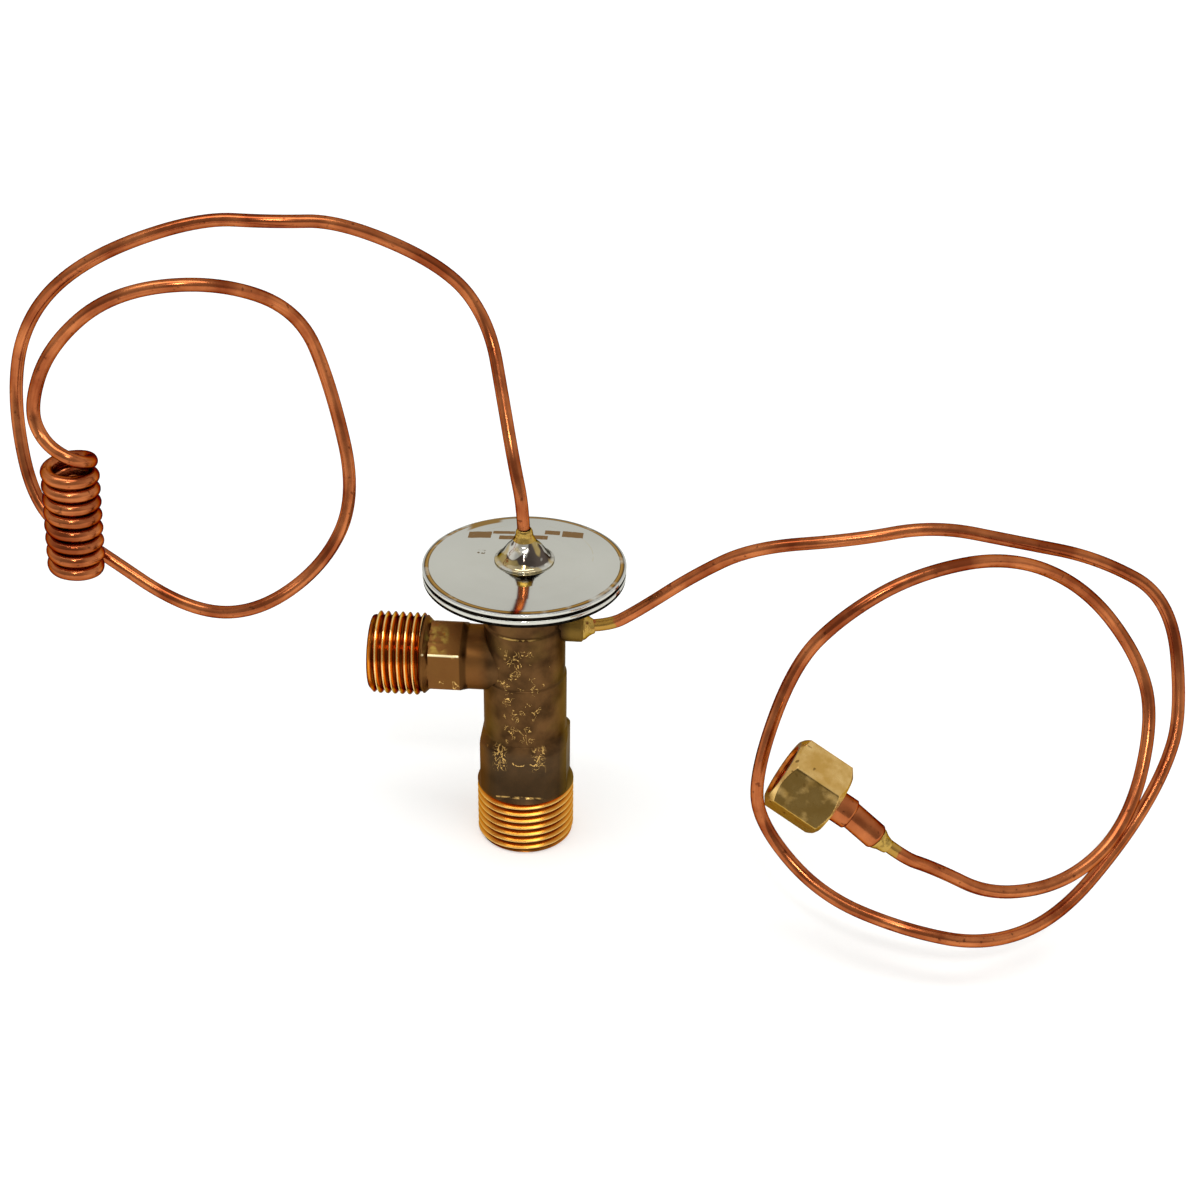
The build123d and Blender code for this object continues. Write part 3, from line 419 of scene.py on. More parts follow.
# Painted highlight: the worn front corner of the inlet hexagon is painted as a pale, near white line for the
# lamp's glint on it; the neck and foot edges are worn gold.
from_corner = add(tree, "ShaderNodeVectorMath", {"operation": "DISTANCE"}, {
    0: add(tree, "ShaderNodeCombineXYZ", links={"Y": deep, "Z": up}),
    1: (0.0, HEX_CORNER[0] * MM, HEX_CORNER[1] * MM)}).outputs["Value"]
corner_line = add(tree, "ShaderNodeMapRange", links={
    "Value": from_corner, "From Min": 0.00027, "From Max": 0.00016})
hex_corner_wear_and_highlight = product(tree, corner_line, between(tree, across, -0.0191, -0.0188, -0.0121, -0.0118))
edge_wear_and_highlight = add(tree, "ShaderNodeMath", {"operation": "MAXIMUM"}, {0: edge_wear_and_highlight, 1: hex_corner_wear_and_highlight})
scratched = add(tree, "ShaderNodeMath", {"operation": "MAXIMUM"}, {0: scratched, 1: flat_marks})
scratched = add(tree, "ShaderNodeMath", {"operation": "MAXIMUM"}, {0: scratched, 1: edge_wear_and_highlight})
bare = blend(tree, scratched, olive, "#E0B468")
bare = blend(tree, hex_corner_wear_and_highlight, bare, "#F2E4B4")
tree.links.new(bare.outputs[0], shader.inputs["Base Color"])
dullness = add(tree, "ShaderNodeMapRange", links={
    "Value": scratched, "To Min": 0.46, "To Max": 0.28})
tree.links.new(dullness.outputs[0], shader.inputs["Roughness"])
pits = add(tree, "ShaderNodeTexNoise", links={
    "Vector": place, "Scale": 1900.0, "Detail": 3.0, "Roughness": 0.6})
relief = add(tree, "ShaderNodeMath", {"operation": "SUBTRACT"}, {0: pits, 1: scratched})
pitting = add(tree, "ShaderNodeBump", links={
    "Height": relief, "Strength": 0.3, "Distance": 0.0001})
tree.links.new(pitting.outputs[0], shader.inputs["Normal"])

# Freshly cut brass of the threads, coloured by depth as painted light and shade: a painted
# highlight of pale gold on the crests, orange on the flanks, and painted shade of dark red-brown
# in the roots. The inlet thread is painted lighter all through.
cut_brass, tree, shader, place = metal("turned_brass_thread", "#D98A30", 0.20, "#6A4A28")
axes = add(tree, "ShaderNodeSeparateXYZ", links={"Vector": place})
level = add(tree, "ShaderNodeMath", {"operation": "SUBTRACT"}, {
    0: axes.outputs["Z"], 1: INLET_Z * MM})
outlet_ring = add(tree, "ShaderNodeCombineXYZ", links={
    "X": axes.outputs["X"], "Y": axes.outputs["Y"]})
inlet_ring = add(tree, "ShaderNodeCombineXYZ", links={"X": axes.outputs["Y"], "Y": level})
outlet_off = add(tree, "ShaderNodeVectorMath", {"operation": "LENGTH"}, {0: outlet_ring})
inlet_off = add(tree, "ShaderNodeVectorMath", {"operation": "LENGTH"}, {0: inlet_ring})
outlet_cut = add(tree, "ShaderNodeMapRange", links={
    "Value": outlet_off.outputs["Value"], "From Min": OUTLET_THREAD_R * MM,
    "From Max": (OUTLET_THREAD_R - OUTLET_THREAD_DEPTH) * MM})
inlet_cut = add(tree, "ShaderNodeMapRange", links={
    "Value": inlet_off.outputs["Value"], "From Min": INLET_THREAD_R * MM,
    "From Max": (INLET_THREAD_R - INLET_THREAD_DEPTH) * MM})
at_inlet = add(tree, "ShaderNodeMath", {"operation": "LESS_THAN"}, {
    0: axes.outputs["X"], 1: -0.0125})
cut = add(tree, "ShaderNodeMix", links={
    "Factor": at_inlet, "A": outlet_cut, "B": inlet_cut})
# Painted highlight on the crests and painted shade in the roots; the inlet's stops are lighter.
outlet_painted_light_shade = add(tree, "ShaderNodeValToRGB", {"stops": [
    (0.0, "#F0C070"), (0.14, "#E29C40"), (0.45, "#CC7A22"), (0.8, "#8E4C12"),
    (1.0, "#4A2006")]}, {"Fac": cut})
inlet_painted_light_shade = add(tree, "ShaderNodeValToRGB", {"stops": [
    (0.0, "#FBDC94"), (0.14, "#F6C064"), (0.45, "#F2A03C"), (0.8, "#C0641C"),
    (1.0, "#4A1C06")]}, {"Fac": cut})
thread_painted_light_shade = blend(tree, at_inlet, outlet_painted_light_shade.outputs[0], inlet_painted_light_shade.outputs[0])
thread_colour_and_painted_light = blend(tree, noise(tree, place, 260.0, 0.40, 0.70, 0.30, 4.0), thread_painted_light_shade.outputs[0], "#C08434")
tree.links.new(thread_colour_and_painted_light.outputs[0], shader.inputs["Base Color"])

body_frame = Matrix.Identity(4)
inlet_frame = Matrix(((0, 0, -1, 0), (0, 1, 0, 0), (1, 0, 0, INLET_Z * MM), (0, 0, 0, 1)))
boss_frame = Matrix(((0, 0, 1, 0), (0, 1, 0, 0), (-1, 0, 0, BOSS_Z * MM), (0, 0, 0, 1)))

inner_rows = eased([
    (0.9, 55.0), (3.1, 55.0), (3.1, 49.2), (1.25, 49.2), (1.25, 45.04), (2.8, 45.04), (2.8, 29.5),
    (4.0, 29.5), (4.0, 23.5), (6.7, 23.5), (6.7, 0.8), (7.5, 0.0), (9.0, 0.0)], 0.12)[1:]
lead_in = ([0.0, 0.45, OUTLET_THREAD_END], [9.0, OUTLET_THREAD_R, OUTLET_THREAD_R])
outlet_rows = thread_rows(OUTLET_THREAD_R, OUTLET_THREAD_DEPTH, OUTLET_PITCH, 0.0,
                          OUTLET_THREAD_END, lead_in)
wrench_limit = flats(WRENCH_HALF, WRENCH_R, 4)
shoulder_rows = []
for share in np.linspace(0, 1, 9):
    cone_r = OUTLET_THREAD_R + (WRENCH_HALF - OUTLET_THREAD_R) * share
    cone_z = OUTLET_THREAD_END + (SHOULDER_TOP - OUTLET_THREAD_END) * share
    corner_r = min(WRENCH_R, OUTLET_THREAD_R + 0.25 * share)
    shoulder_rows.append((np.maximum(cone_r, np.minimum(corner_r, wrench_limit)), cone_z))
wrench_rows = []
for row_r, row_z in eased([(WRENCH_R, 13.3), (WRENCH_R, 22.8), (8.05, 24.4), (8.05, 25.0)], 0.5):
    wrench_rows.append((np.minimum(row_r, wrench_limit), row_z))
upper_rows = eased([
    (8.05, 25.4), (8.05, 36.75), (7.75, 37.05), (7.75, 48.05), (7.3, 48.5), (7.3, 52.2),
    (5.8, 52.2), (5.8, 55.0), (3.1, 55.0)], 0.16)
body_rows = inner_rows + outlet_rows + shoulder_rows + wrench_rows + upper_rows
body_finish = ([0] * (len(inner_rows) - 1) + [1] * (len(outlet_rows) + 1)
               + [0] * (len(shoulder_rows) + len(wrench_rows) + len(upper_rows)))

hex_limit = flats(HEX_HALF, HEX_R - 0.05, 6, 30.0)
hex_rows = []
for share in np.linspace(0, 1, 7):
    swell = share * share * (3 - 2 * share)
    hex_rows.append((INLET_ROOT_R * (1 - swell) + hex_limit * swell,
                     HEX_START - HEX_RUN_OUT * (1 - share)))
hex_rows += [(hex_limit, 14.0), (hex_limit, HEX_END - 0.1)]
inlet_lead = ([INLET_THREAD_START, INLET_END - 0.9, INLET_END],
              [INLET_THREAD_R, INLET_THREAD_R, INLET_THREAD_R - 0.9])
root_rows = [(3.6, 0.0), (INLET_ROOT_R, 0.0)]
collar_rows = eased([(6.62, 18.0), (7.55, 18.95), (7.55, 19.12), (6.95, 19.2), (6.95, 19.48),
                     (7.2, INLET_THREAD_START)], 0.08)
inlet_thread = thread_rows(INLET_THREAD_R, INLET_THREAD_DEPTH, INLET_PITCH, INLET_THREAD_START,
                           INLET_END, inlet_lead)
mouth_rows = eased([(6.9, INLET_END), (5.2, INLET_END), (4.7, 29.0), (4.7, 20.5), (3.6, 20.5),
                    (3.6, 0.0)], 0.12)
inlet_rows = root_rows + hex_rows + collar_rows + inlet_thread + mouth_rows
inlet_finish = ([0] * (len(root_rows) + len(hex_rows) + len(collar_rows) - 1)
                + [1] * (len(inlet_thread) + 3) + [0] * (len(mouth_rows) - 2))

boss_rows = eased([(0.8, 0.0), (BOSS_R, 0.0), (BOSS_R, BOSS_END - 0.5), (BOSS_R - 0.5, BOSS_END),
                   (0.8, BOSS_END)], 0.15)

valve_body = solid("brass_body", [
    skin(body_rows, body_frame, body_finish),
    skin(inlet_rows, inlet_frame, inlet_finish),
    skin(boss_rows, boss_frame, 0),
], [tarnished_brass, cut_brass])
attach(valve_body, "valve")
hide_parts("valve_body")


# Power head: two stainless pressings, welded together at the rim over the diaphragm.
# The top is polished like a mirror; the weld has left a gold ring and a brown patch, and
# the marks etched into the back of the cap are plain brown bars.
RIM_R = 19.05
RING_INNER_R = 17.75
RING_OUTER_R = 18.75
GROOVE_R = 18.7
ETCHED_BARS = [(-9.5, 9.5, 2.2, 1.4), (-5.0, 10.6, 2.1, 0.62), (-3.8, 8.4, 1.9, 0.8),
               (2.0, 9.0, 1.5, 0.8), (4.2, 11.4, 1.45, 0.9), (8.1, 11.2, 2.0, 1.3)]
BAR_BEND = 0.035
HEAD_SIDES = 224

steel, tree, shader, place = metal("polished_stainless_steel", "#C4C6C6", 0.10, "#D4D4D0")
axes = add(tree, "ShaderNodeSeparateXYZ", links={"Vector": place})
across, deep, up = axes.outputs["X"], axes.outputs["Y"], axes.outputs["Z"]
from_axis = add(tree, "ShaderNodeVectorMath", {"operation": "LENGTH"}, {
    0: add(tree, "ShaderNodeCombineXYZ", links={"X": across, "Y": deep})}).outputs["Value"]
grey = blend(tree, noise(tree, place, 60.0, 0.35, 0.70, 0.6, 4.0), "#D0CFC6", "#C4C3B8")
ring_place = add(tree, "ShaderNodeMapRange", links={
    "Value": from_axis, "From Min": RING_INNER_R * MM, "From Max": RING_OUTER_R * MM})
ring_gold = add(tree, "ShaderNodeValToRGB", {"stops": [
    (0.0, "#B9B49F"), (0.12, "#6A5028"), (0.35, "#B98F4A"), (0.65, "#8F6A30"),
    (0.84, "#33240F"), (1.0, "#C8C8C4")]}, {"Fac": ring_place})
on_ring = product(
    tree, add(tree, "ShaderNodeMath", {"operation": "GREATER_THAN"}, {
        0: from_axis, 1: (RING_INNER_R + 0.02) * MM}),
    add(tree, "ShaderNodeMath", {"operation": "GREATER_THAN"}, {0: up, 1: 0.06030}),
    noise(tree, place, 240.0, 0.25, 0.45))
tinted = blend(tree, on_ring, grey, ring_gold)
weld_patch = product(
    tree, between(tree, across, -0.0125, -0.0112, -0.0068, -0.0056),
    between(tree, from_axis, 0.0163, 0.0168, 0.0186, 0.0189),
    add(tree, "ShaderNodeMath", {"operation": "GREATER_THAN"}, {0: deep, 1: 0.010}))
tinted = blend(tree, weld_patch, tinted, "#9A7434")
bend = product(tree, across, across, BAR_BEND / MM)
bar_edge = add(tree, "ShaderNodeTexNoise", links={"Vector": place, "Scale": 1400.0})
bars = None
for bar_x, bar_y, half_long, half_wide in ETCHED_BARS:
    along_bar = add(tree, "ShaderNodeMath", {"operation": "COMPARE"}, {
        0: across, 1: bar_x * MM, 2: half_long * MM})
    bar_level = add(tree, "ShaderNodeMath", {"operation": "MULTIPLY_ADD"}, {
        0: bar_edge, 1: 0.0003, 2: deep})
    across_bar = add(tree, "ShaderNodeMath", {"operation": "COMPARE"}, {
        0: bar_level, 1: (bar_y + 0.15) * MM, 2: half_wide * MM})
    bar = product(tree, along_bar, across_bar)
    bars = bar if bars is None else add(
        tree, "ShaderNodeMath", {"operation": "MAXIMUM"}, {0: bars, 1: bar})
etched = product(tree, bars, noise(tree, place, 1100.0, 0.15, 0.35, 0.95),
                 add(tree, "ShaderNodeMath", {"operation": "GREATER_THAN"}, {0: up, 1: 0.0604}))
tinted = blend(tree, etched, tinted, "#86602E")
nick = product(tree, between(tree, across, -0.0092, -0.0090, -0.0077, -0.0075),
               between(tree, deep, 0.0014, 0.0016, 0.0029, 0.0031),
               noise(tree, place, 1500.0, 0.52, 0.56))
tinted = blend(tree, nick, tinted, "#7A6A50")
arc_place = add(tree, "ShaderNodeVectorMath", {"operation": "LENGTH"}, {
    0: add(tree, "ShaderNodeCombineXYZ", links={
        "X": across, "Y": add(tree, "ShaderNodeMath", {"operation": "ADD"}, {
            0: deep, 1: -0.002})})}).outputs["Value"]
arcs = product(tree, add(tree, "ShaderNodeMath", {"operation": "COMPARE"}, {
    0: arc_place, 1: 0.01265, 2: 0.00008}), noise(tree, place, 210.0, 0.52, 0.58, 0.5))
tinted = blend(tree, arcs, tinted, "#C9BFA0")
tree.links.new(tinted.outputs[0], shader.inputs["Base Color"])
steel_dull = add(tree, "ShaderNodeMapRange", links={
    "Value": etched, "To Min": 0.09, "To Max": 0.4})
tree.links.new(steel_dull.outputs[0], shader.inputs["Roughness"])

# Painted shade: a near black finish painted into the groove at the rim and under the lower lip,
# standing for shade and dark reflections; the diaphragm inside takes it as its own dark finish.
dark_finish_and_painted_shade, tree, shader, place = metal("dark_finish_and_painted_rim_shade", "#1C1814", 0.45, "#101010")
tree.links.new(blend(tree, noise(tree, place, 700.0, 0.4, 0.6), "#0C0A08", "#221C16").outputs[0],
               shader.inputs["Base Color"])

upper_cover_outline = [
    (1.25, 60.65), (1.25, 61.35), (6.2, 61.35), (10.0, 61.22), (14.0, 60.95), (17.4, 60.62),
    (18.5, 60.50), (19.03, 60.44), (19.03, 59.88), (GROOVE_R, 59.78), (GROOVE_R, 59.6), (15.9, 59.6), (15.2, 59.75), (6.2, 60.65), (1.25, 60.65)]
upper_cover_rows = eased(upper_cover_outline, 0.14)
# The groove rows get the painted shade.
upper_finish = [1 if 59.55 < z < 59.86 and r > 15 else 0 for r, z in upper_cover_rows]
upper_cover = solid("upper_cover_pressing", [
    skin(upper_cover_rows, body_frame, upper_finish, HEAD_SIDES)], [steel, dark_finish_and_painted_shade])
lower_cover_outline = [
    (5.9, 52.7), (7.9, 52.7), (7.9, 53.4), (17.6, 57.36), (18.55, 57.62), (18.95, 57.88),
    (18.95, 58.12), (18.78, 58.30), (19.03, 58.50), (19.03, 59.14), (GROOVE_R, 59.24),
    (GROOVE_R, 59.42), (15.9, 59.42), (14.6, 58.1), (7.9, 54.7), (5.9, 54.7), (5.9, 52.7)]
lower_cover_rows = eased(lower_cover_outline, 0.14)
# The groove rows and the lower lip get the painted shade.
lower_finish = [1 if (59.15 < z and r > 15) or (57.2 < z < 58.3 and r > 17.9) else 0
                for r, z in lower_cover_rows]
lower_cover = solid("lower_cover_pressing", [
    skin(lower_cover_rows, body_frame, lower_finish, HEAD_SIDES)], [steel, dark_finish_and_painted_shade])

# Chromed steel of the bell: bright, with brown heat colours in patches of about 4 mm
# where the torch passed, and a clean white lip.
bell_chrome, tree, shader, place = metal("chromed_bell_steel", "#B4AFA2", 0.12, "#5A5A58")
axes = add(tree, "ShaderNodeSeparateXYZ", links={"Vector": place})
heat = product(tree, noise(tree, place, 260.0, 0.48, 0.54, 0.92, 1.0, 1.2),
               between(tree, axes.outputs["Z"], 0.0617, 0.0622, 0.0655, 0.0662))
burnt_chrome = blend(tree, heat, "#D6D3C8", "#3E2E26")
straw = product(tree, noise(tree, place, 310.0, 0.54, 0.62, 0.7, 1.0))
burnt_chrome = blend(tree, straw, burnt_chrome, "#C2A96A")
tree.links.new(burnt_chrome.outputs[0], shader.inputs["Base Color"])
hammered = add(tree, "ShaderNodeTexNoise", links={"Vector": place, "Scale": 300.0})
tree.links.new(add(tree, "ShaderNodeBump", links={
    "Height": hammered, "Strength": 0.6, "Distance": 0.0006}).outputs[0],
    shader.inputs["Normal"])
bell_rows = eased([
    (1.25, 61.35), (5.6, 61.35), (5.6, 61.68), (5.05, 61.84), (4.6, 62.4), (4.05, 63.2),
    (3.3, 64.2), (2.4, 65.1), (1.95, 65.85), (1.25, 65.85), (1.25, 61.35)], 0.25)
bell = solid("capillary_bell", [skin(bell_rows, body_frame, 0, 144)], [bell_chrome])
for piece, node in ((upper_cover, "upper_cover"), (lower_cover, "lower_cover"),
                    (bell, "capillary_adapter")):
    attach(piece, "valve")
    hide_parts(node)


# Sensing line and equalizer line: drawn copper tube 2.4 mm across, annealed and bent by
# hand, each on one smooth curve. The sensing line ends wound round a mandrel, turn on turn.
TUBE_R = 1.2
BOSS_WASH = ((15.4, 0.0, 47.7), 2.4)
STUB_WASH = ((67.7, -40.6, 30.1), 2.4)
COIL_TOP = (-79.65, -12.5, 81.5)
COIL_LEAN = -0.146
COIL_PITCH = 2.63
COIL_R = 3.95
COIL_CORNERS = 6
COIL_TURNS = 8.0
COIL_FIRST_ANGLE = 60
CAPILLARY_ROUTE = [
    (0.0, 0.0, 60.9), (0.0, 0.0, 71.0), (-2.2, 2.8, 80.1), (-4.8, 9.6, 89.2),
    (-8.2, 18.6, 100.4), (-15.6, 18.6, 110.9), (-34.0, 14.3, 120.6), (-45.5, 10.4, 121.2),
    (-58.9, 10.0, 121.6), (-79.2, 6.0, 114.5), (-91.7, 7.1, 102.2), (-95.6, 5.9, 86.0),
    (-91.2, -1.9, 67.8), (-80.0, -4.9, 62.4), (-62.9, -8.3, 51.9), (-48.7, -11.8, 53.6),
    (-36.7, -4.6, 60.6), (-30.8, -0.9, 73.6), (-35.2, 3.6, 93.0), (-40.3, 4.3, 107.4),
    (-52.1, -6.4, 116.4), (-69.4, -9.4, 114.7), (-81.3, -10.1, 104.5), (-85.8, -11.2, 93.3),
    (-83.5, -13.1, 87.6), (-77.6, -16.0, 85.5), (-75.5, -11.7, 83.3),
]
EQUALIZER_ROUTE = [
    (8.4, 0.0, 47.5), (15.5, 0.0, 47.5), (21.5, 0.2, 51.4), (31.5, 0.5, 59.3),
    (42.1, -2.5, 67.5),
    (60.0, -4.2, 70.8), (74.5, -1.0, 72.9), (90.0, 1.5, 69.0), (106.4, 6.9, 63.6),
    (121.2, 7.3, 55.5), (124.2, -3.0, 36.6), (120.9, -10.7, 28.2), (113.6, -18.9, 18.1),
    (101.0, -31.8, 9.4), (87.1, -41.1, 9.7), (72.4, -42.4, 13.1), (57.3, -35.5, 14.5),
    (46.4, -27.9, 23.0), (44.0, -27.8, 34.0), (49.9, -20.6, 53.8), (58.3, -18.9, 63.8),
    (70.7, -14.4, 70.3), (87.7, -6.3, 70.4), (103.0, -0.8, 61.8), (114.4, -1.6, 48.3),
    (118.0, -7.5, 38.2), (113.6, -20.6, 23.5), (102.6, -30.5, 16.9), (88.0, -35.9, 16.7),
    (76.6, -37.6, 23.8), (69.77, -41.17, 28.56), (62.78, -39.39, 33.94),
]


def sweep_tree(name):
    """Geometry Nodes tree that sweeps a round section along a route and closes its ends."""
    tree = bpy.data.node_groups.new(name, "GeometryNodeTree")
    sockets = tree.interface
    sockets.new_socket("Route", in_out="INPUT", socket_type="NodeSocketGeometry")
    sockets.new_socket("Section Radius", in_out="INPUT", socket_type="NodeSocketFloat")
    sockets.new_socket("Section Sides", in_out="INPUT", socket_type="NodeSocketInt")
    sockets.new_socket("Finish", in_out="INPUT", socket_type="NodeSocketMaterial")
    sockets.new_socket("Tube", in_out="OUTPUT", socket_type="NodeSocketGeometry")
    given = add(tree, "NodeGroupInput")
    run = add(tree, "GeometryNodeSplineParameter")
    marked = add(tree, "GeometryNodeStoreNamedAttribute", {"data_type": "FLOAT"}, {
        "Geometry": given.outputs["Route"], "Name": "along", "Value": run.outputs["Length"]})
    section = add(tree, "GeometryNodeCurvePrimitiveCircle", links={
        "Resolution": given.outputs["Section Sides"], "Radius": given.outputs["Section Radius"]})
    section_run = add(tree, "GeometryNodeSplineParameter")
    turned = add(tree, "GeometryNodeStoreNamedAttribute", {"data_type": "FLOAT"}, {
        "Geometry": section.outputs["Curve"], "Name": "around",
        "Value": section_run.outputs["Factor"]})
    swept = add(tree, "GeometryNodeCurveToMesh", links={
        "Curve": marked, "Profile Curve": turned, "Fill Caps": True})
    smooth = add(tree, "GeometryNodeSetShadeSmooth", links={"Geometry": swept})
    real = add(tree, "GeometryNodeRealizeInstances", links={"Geometry": smooth})
    coated = add(tree, "GeometryNodeSetMaterial", links={
        "Geometry": real, "Material": given.outputs["Finish"]})
    add(tree, "NodeGroupOutput", links={"Tube": coated})
    return tree


def swept_piece(name, route, radius, sides, finish, steps):
    """A plain mesh tube along the smooth curve that a route's points control."""
    curve = bpy.data.curves.new(name + "_route", "CURVE")
    curve.dimensions = "3D"
    spline = curve.splines.new("NURBS")
    spline.points.add(len(route) - 1)
    for point, spot in zip(spline.points, route):
        point.co = (spot[0] * MM, spot[1] * MM, spot[2] * MM, 1.0)
    spline.use_endpoint_u = True
    spline.order_u = 3
    curve.resolution_u = steps
    spline.resolution_u = steps
    carrier = bpy.data.objects.new(name + "_route", curve)
    bpy.context.collection.objects.link(carrier)
    sweep = carrier.modifiers.new("sweep", "NODES")
    sweep.node_group = sweep_tree(name + "_sweep")
    inputs = {item.name: item.identifier for item in sweep.node_group.interface.items_tree
              if item.in_out == "INPUT"}
    sweep[inputs["Section Radius"]] = radius * MM
    sweep[inputs["Section Sides"]] = sides
    sweep[inputs["Finish"]] = finish
    bpy.context.view_layer.update()
    ready = carrier.evaluated_get(bpy.context.evaluated_depsgraph_get())
    mesh = bpy.data.meshes.new_from_object(ready)
    mesh.name = name
    piece = bpy.data.objects.new(name, mesh)
    bpy.context.collection.objects.link(piece)
    bpy.data.objects.remove(carrier)
    return piece


# Drawn copper, lightly oxidised: reddish brown with orange where it was rubbed, faint
# lines along the tube from the drawing die, and small dark stains about 1 mm across.
copper, tree, shader, place = metal("drawn_copper_tube", "#A85C34", 0.20, "#3A1C0E")
along = add(tree, "ShaderNodeAttribute", {"attribute_name": "along"})
around = add(tree, "ShaderNodeAttribute", {"attribute_name": "around"})
stretched = add(tree, "ShaderNodeCombineXYZ", links={
    "X": add(tree, "ShaderNodeMath", {"operation": "MULTIPLY"},
             {0: along.outputs["Fac"], 1: 40.0}),
    "Y": add(tree, "ShaderNodeMath", {"operation": "SINE"},
             {0: add(tree, "ShaderNodeMath", {"operation": "MULTIPLY"},
                     {0: around.outputs["Fac"], 1: 6.2832})}),
    "Z": add(tree, "ShaderNodeMath", {"operation": "COSINE"},
             {0: add(tree, "ShaderNodeMath", {"operation": "MULTIPLY"},
                     {0: around.outputs["Fac"], 1: 6.2832})})})
draw_lines = add(tree, "ShaderNodeTexNoise", links={
    "Vector": stretched, "Scale": 3.2, "Detail": 4.0})
blush = noise(tree, place, 130.0, 0.36, 0.66, detail=5.0)
red = blend(tree, blush, "#8C4424", "#CC7A48")
line_share = add(tree, "ShaderNodeMapRange", links={
    "Value": draw_lines, "From Min": 0.40, "From Max": 0.70, "To Max": 0.45})
lined = blend(tree, line_share, red, "#7A3419")
stained = blend(tree, noise(tree, place, 900.0, 0.66, 0.72, 0.6, 2.0), lined, "#42190C")
wash_edge = add(tree, "ShaderNodeTexNoise", links={"Vector": place, "Scale": 900.0})
washed = None
for wash_place, wash_reach in (BOSS_WASH, STUB_WASH):
    from_joint = add(tree, "ShaderNodeVectorMath", {"operation": "DISTANCE"}, {
        0: place, 1: [part * MM for part in wash_place]}).outputs["Value"]
    ragged_reach = add(tree, "ShaderNodeMath", {"operation": "MULTIPLY_ADD"}, {
        0: wash_edge, 1: 0.0016, 2: from_joint})
    wash = add(tree, "ShaderNodeMapRange", links={
        "Value": ragged_reach, "From Min": (wash_reach + 0.9) * MM,
        "From Max": (wash_reach + 0.6) * MM, "To Max": 0.9})
    washed = wash if washed is None else add(
        tree, "ShaderNodeMath", {"operation": "MAXIMUM"}, {0: washed, 1: wash})
brazed = blend(tree, washed, stained, "#B08A40")
tree.links.new(brazed.outputs[0], shader.inputs["Base Color"])
copper_dull = add(tree, "ShaderNodeMapRange", links={
    "Value": blush, "To Min": 0.16, "To Max": 0.27})
tree.links.new(copper_dull.outputs[0], shader.inputs["Roughness"])
dents = add(tree, "ShaderNodeBump", links={
    "Height": draw_lines, "Strength": 0.12, "Distance": 0.0002})
tree.links.new(dents.outputs[0], shader.inputs["Normal"])

coil_corner_r = COIL_R / math.cos(math.pi / COIL_CORNERS)
coil = []
for corner in range(int(COIL_TURNS * COIL_CORNERS) + 1):
    angle = COIL_FIRST_ANGLE + corner * 360 / COIL_CORNERS
    turns_down = (angle - 270) / 360
    coil.append((
        COIL_TOP[0] + COIL_LEAN * turns_down + coil_corner_r * math.cos(math.radians(angle)),
        COIL_TOP[1] + coil_corner_r * math.sin(math.radians(angle)),
        COIL_TOP[2] - COIL_PITCH * turns_down))
capillary = swept_piece("sensing_line", CAPILLARY_ROUTE + coil, TUBE_R, 28, copper, 12)
equalizer = swept_piece("equalizer_line", EQUALIZER_ROUTE, TUBE_R, 28, copper, 14)
for piece, node in ((capillary, "capillary_tube"), (equalizer, "equalizer_tube")):
    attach(piece, "valve")
    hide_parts(node)


# Silver braze: gold coloured filler that ran into each joint and froze with a lumpy,
# glassy skin, specked with flux that burnt black.
braze, tree, shader, place = metal("silver_braze_filler", "#C09A48", 0.24, "#5A4A2A")
lumps = add(tree, "ShaderNodeTexNoise", links={
    "Vector": place, "Scale": 700.0, "Detail": 3.0, "Roughness": 0.6})
burnt = add(tree, "ShaderNodeMapRange", links={
    "Value": lumps, "From Min": 0.56, "From Max": 0.68, "To Max": 0.85})
filler = add(tree, "ShaderNodeMixRGB", links={
    "Fac": burnt, "Color1": linear("#B8964C"), "Color2": linear("#4A3416")})
tree.links.new(filler.outputs[0], shader.inputs["Base Color"])
lumpy = add(tree, "ShaderNodeBump", links={
    "Height": lumps, "Strength": 0.5, "Distance": 0.0003})
tree.links.new(lumpy.outputs[0], shader.inputs["Normal"])

capillary_braze_rows = eased([
    (1.22, 65.0), (2.35, 65.1), (2.15, 65.5), (1.9, 66.0), (1.66, 66.6), (1.58, 67.3),
    (1.38, 67.75), (1.22, 67.8)], 0.3)
capillary_braze = solid("capillary_braze_collar", [
    skin(capillary_braze_rows, body_frame, 0, 96)], [braze])
boss_braze_rows = eased([
    (1.22, 11.2), (2.72, 11.22), (2.5, 11.7), (1.95, 12.2), (1.6, 12.7), (1.36, 13.2),
    (1.22, 13.4)], 0.4)
boss_braze = solid("boss_braze_cone", [skin(boss_braze_rows, boss_frame, 0, 96)], [braze])
for piece, node in ((capillary_braze, "capillary_braze"), (boss_braze, "equalizer_braze")):
    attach(piece, "valve")
    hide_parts(node)


# Flare stub and its nut: a copper end piece whose mouth is belled out to 45 degrees, and
# a machined brass hexagon nut that turns on its sleeve and draws the flare up tight.
NUT_MOUTH = (48.79, -35.72, 41.94)
NUT_AXIS = (0.8556, -0.2256, -0.4658)
NUT_TURN = 48.5
NUT_LENGTH = 10.7
SLEEVE_END = 14.35
STUB_AXIS = (0.777, -0.198, -0.598)
STUB_LENGTH = 6.2
NUT_SIDES = 240
NUT_HALF = 6.35
NUT_R = 7.33
NUT_CORNER_CHAMFER = 1.1
NUT_FACE_R = 5.8
# The flat that gets the painted shade.
PAINTED_SHADE_FLAT = NUT_TURN + 30.0


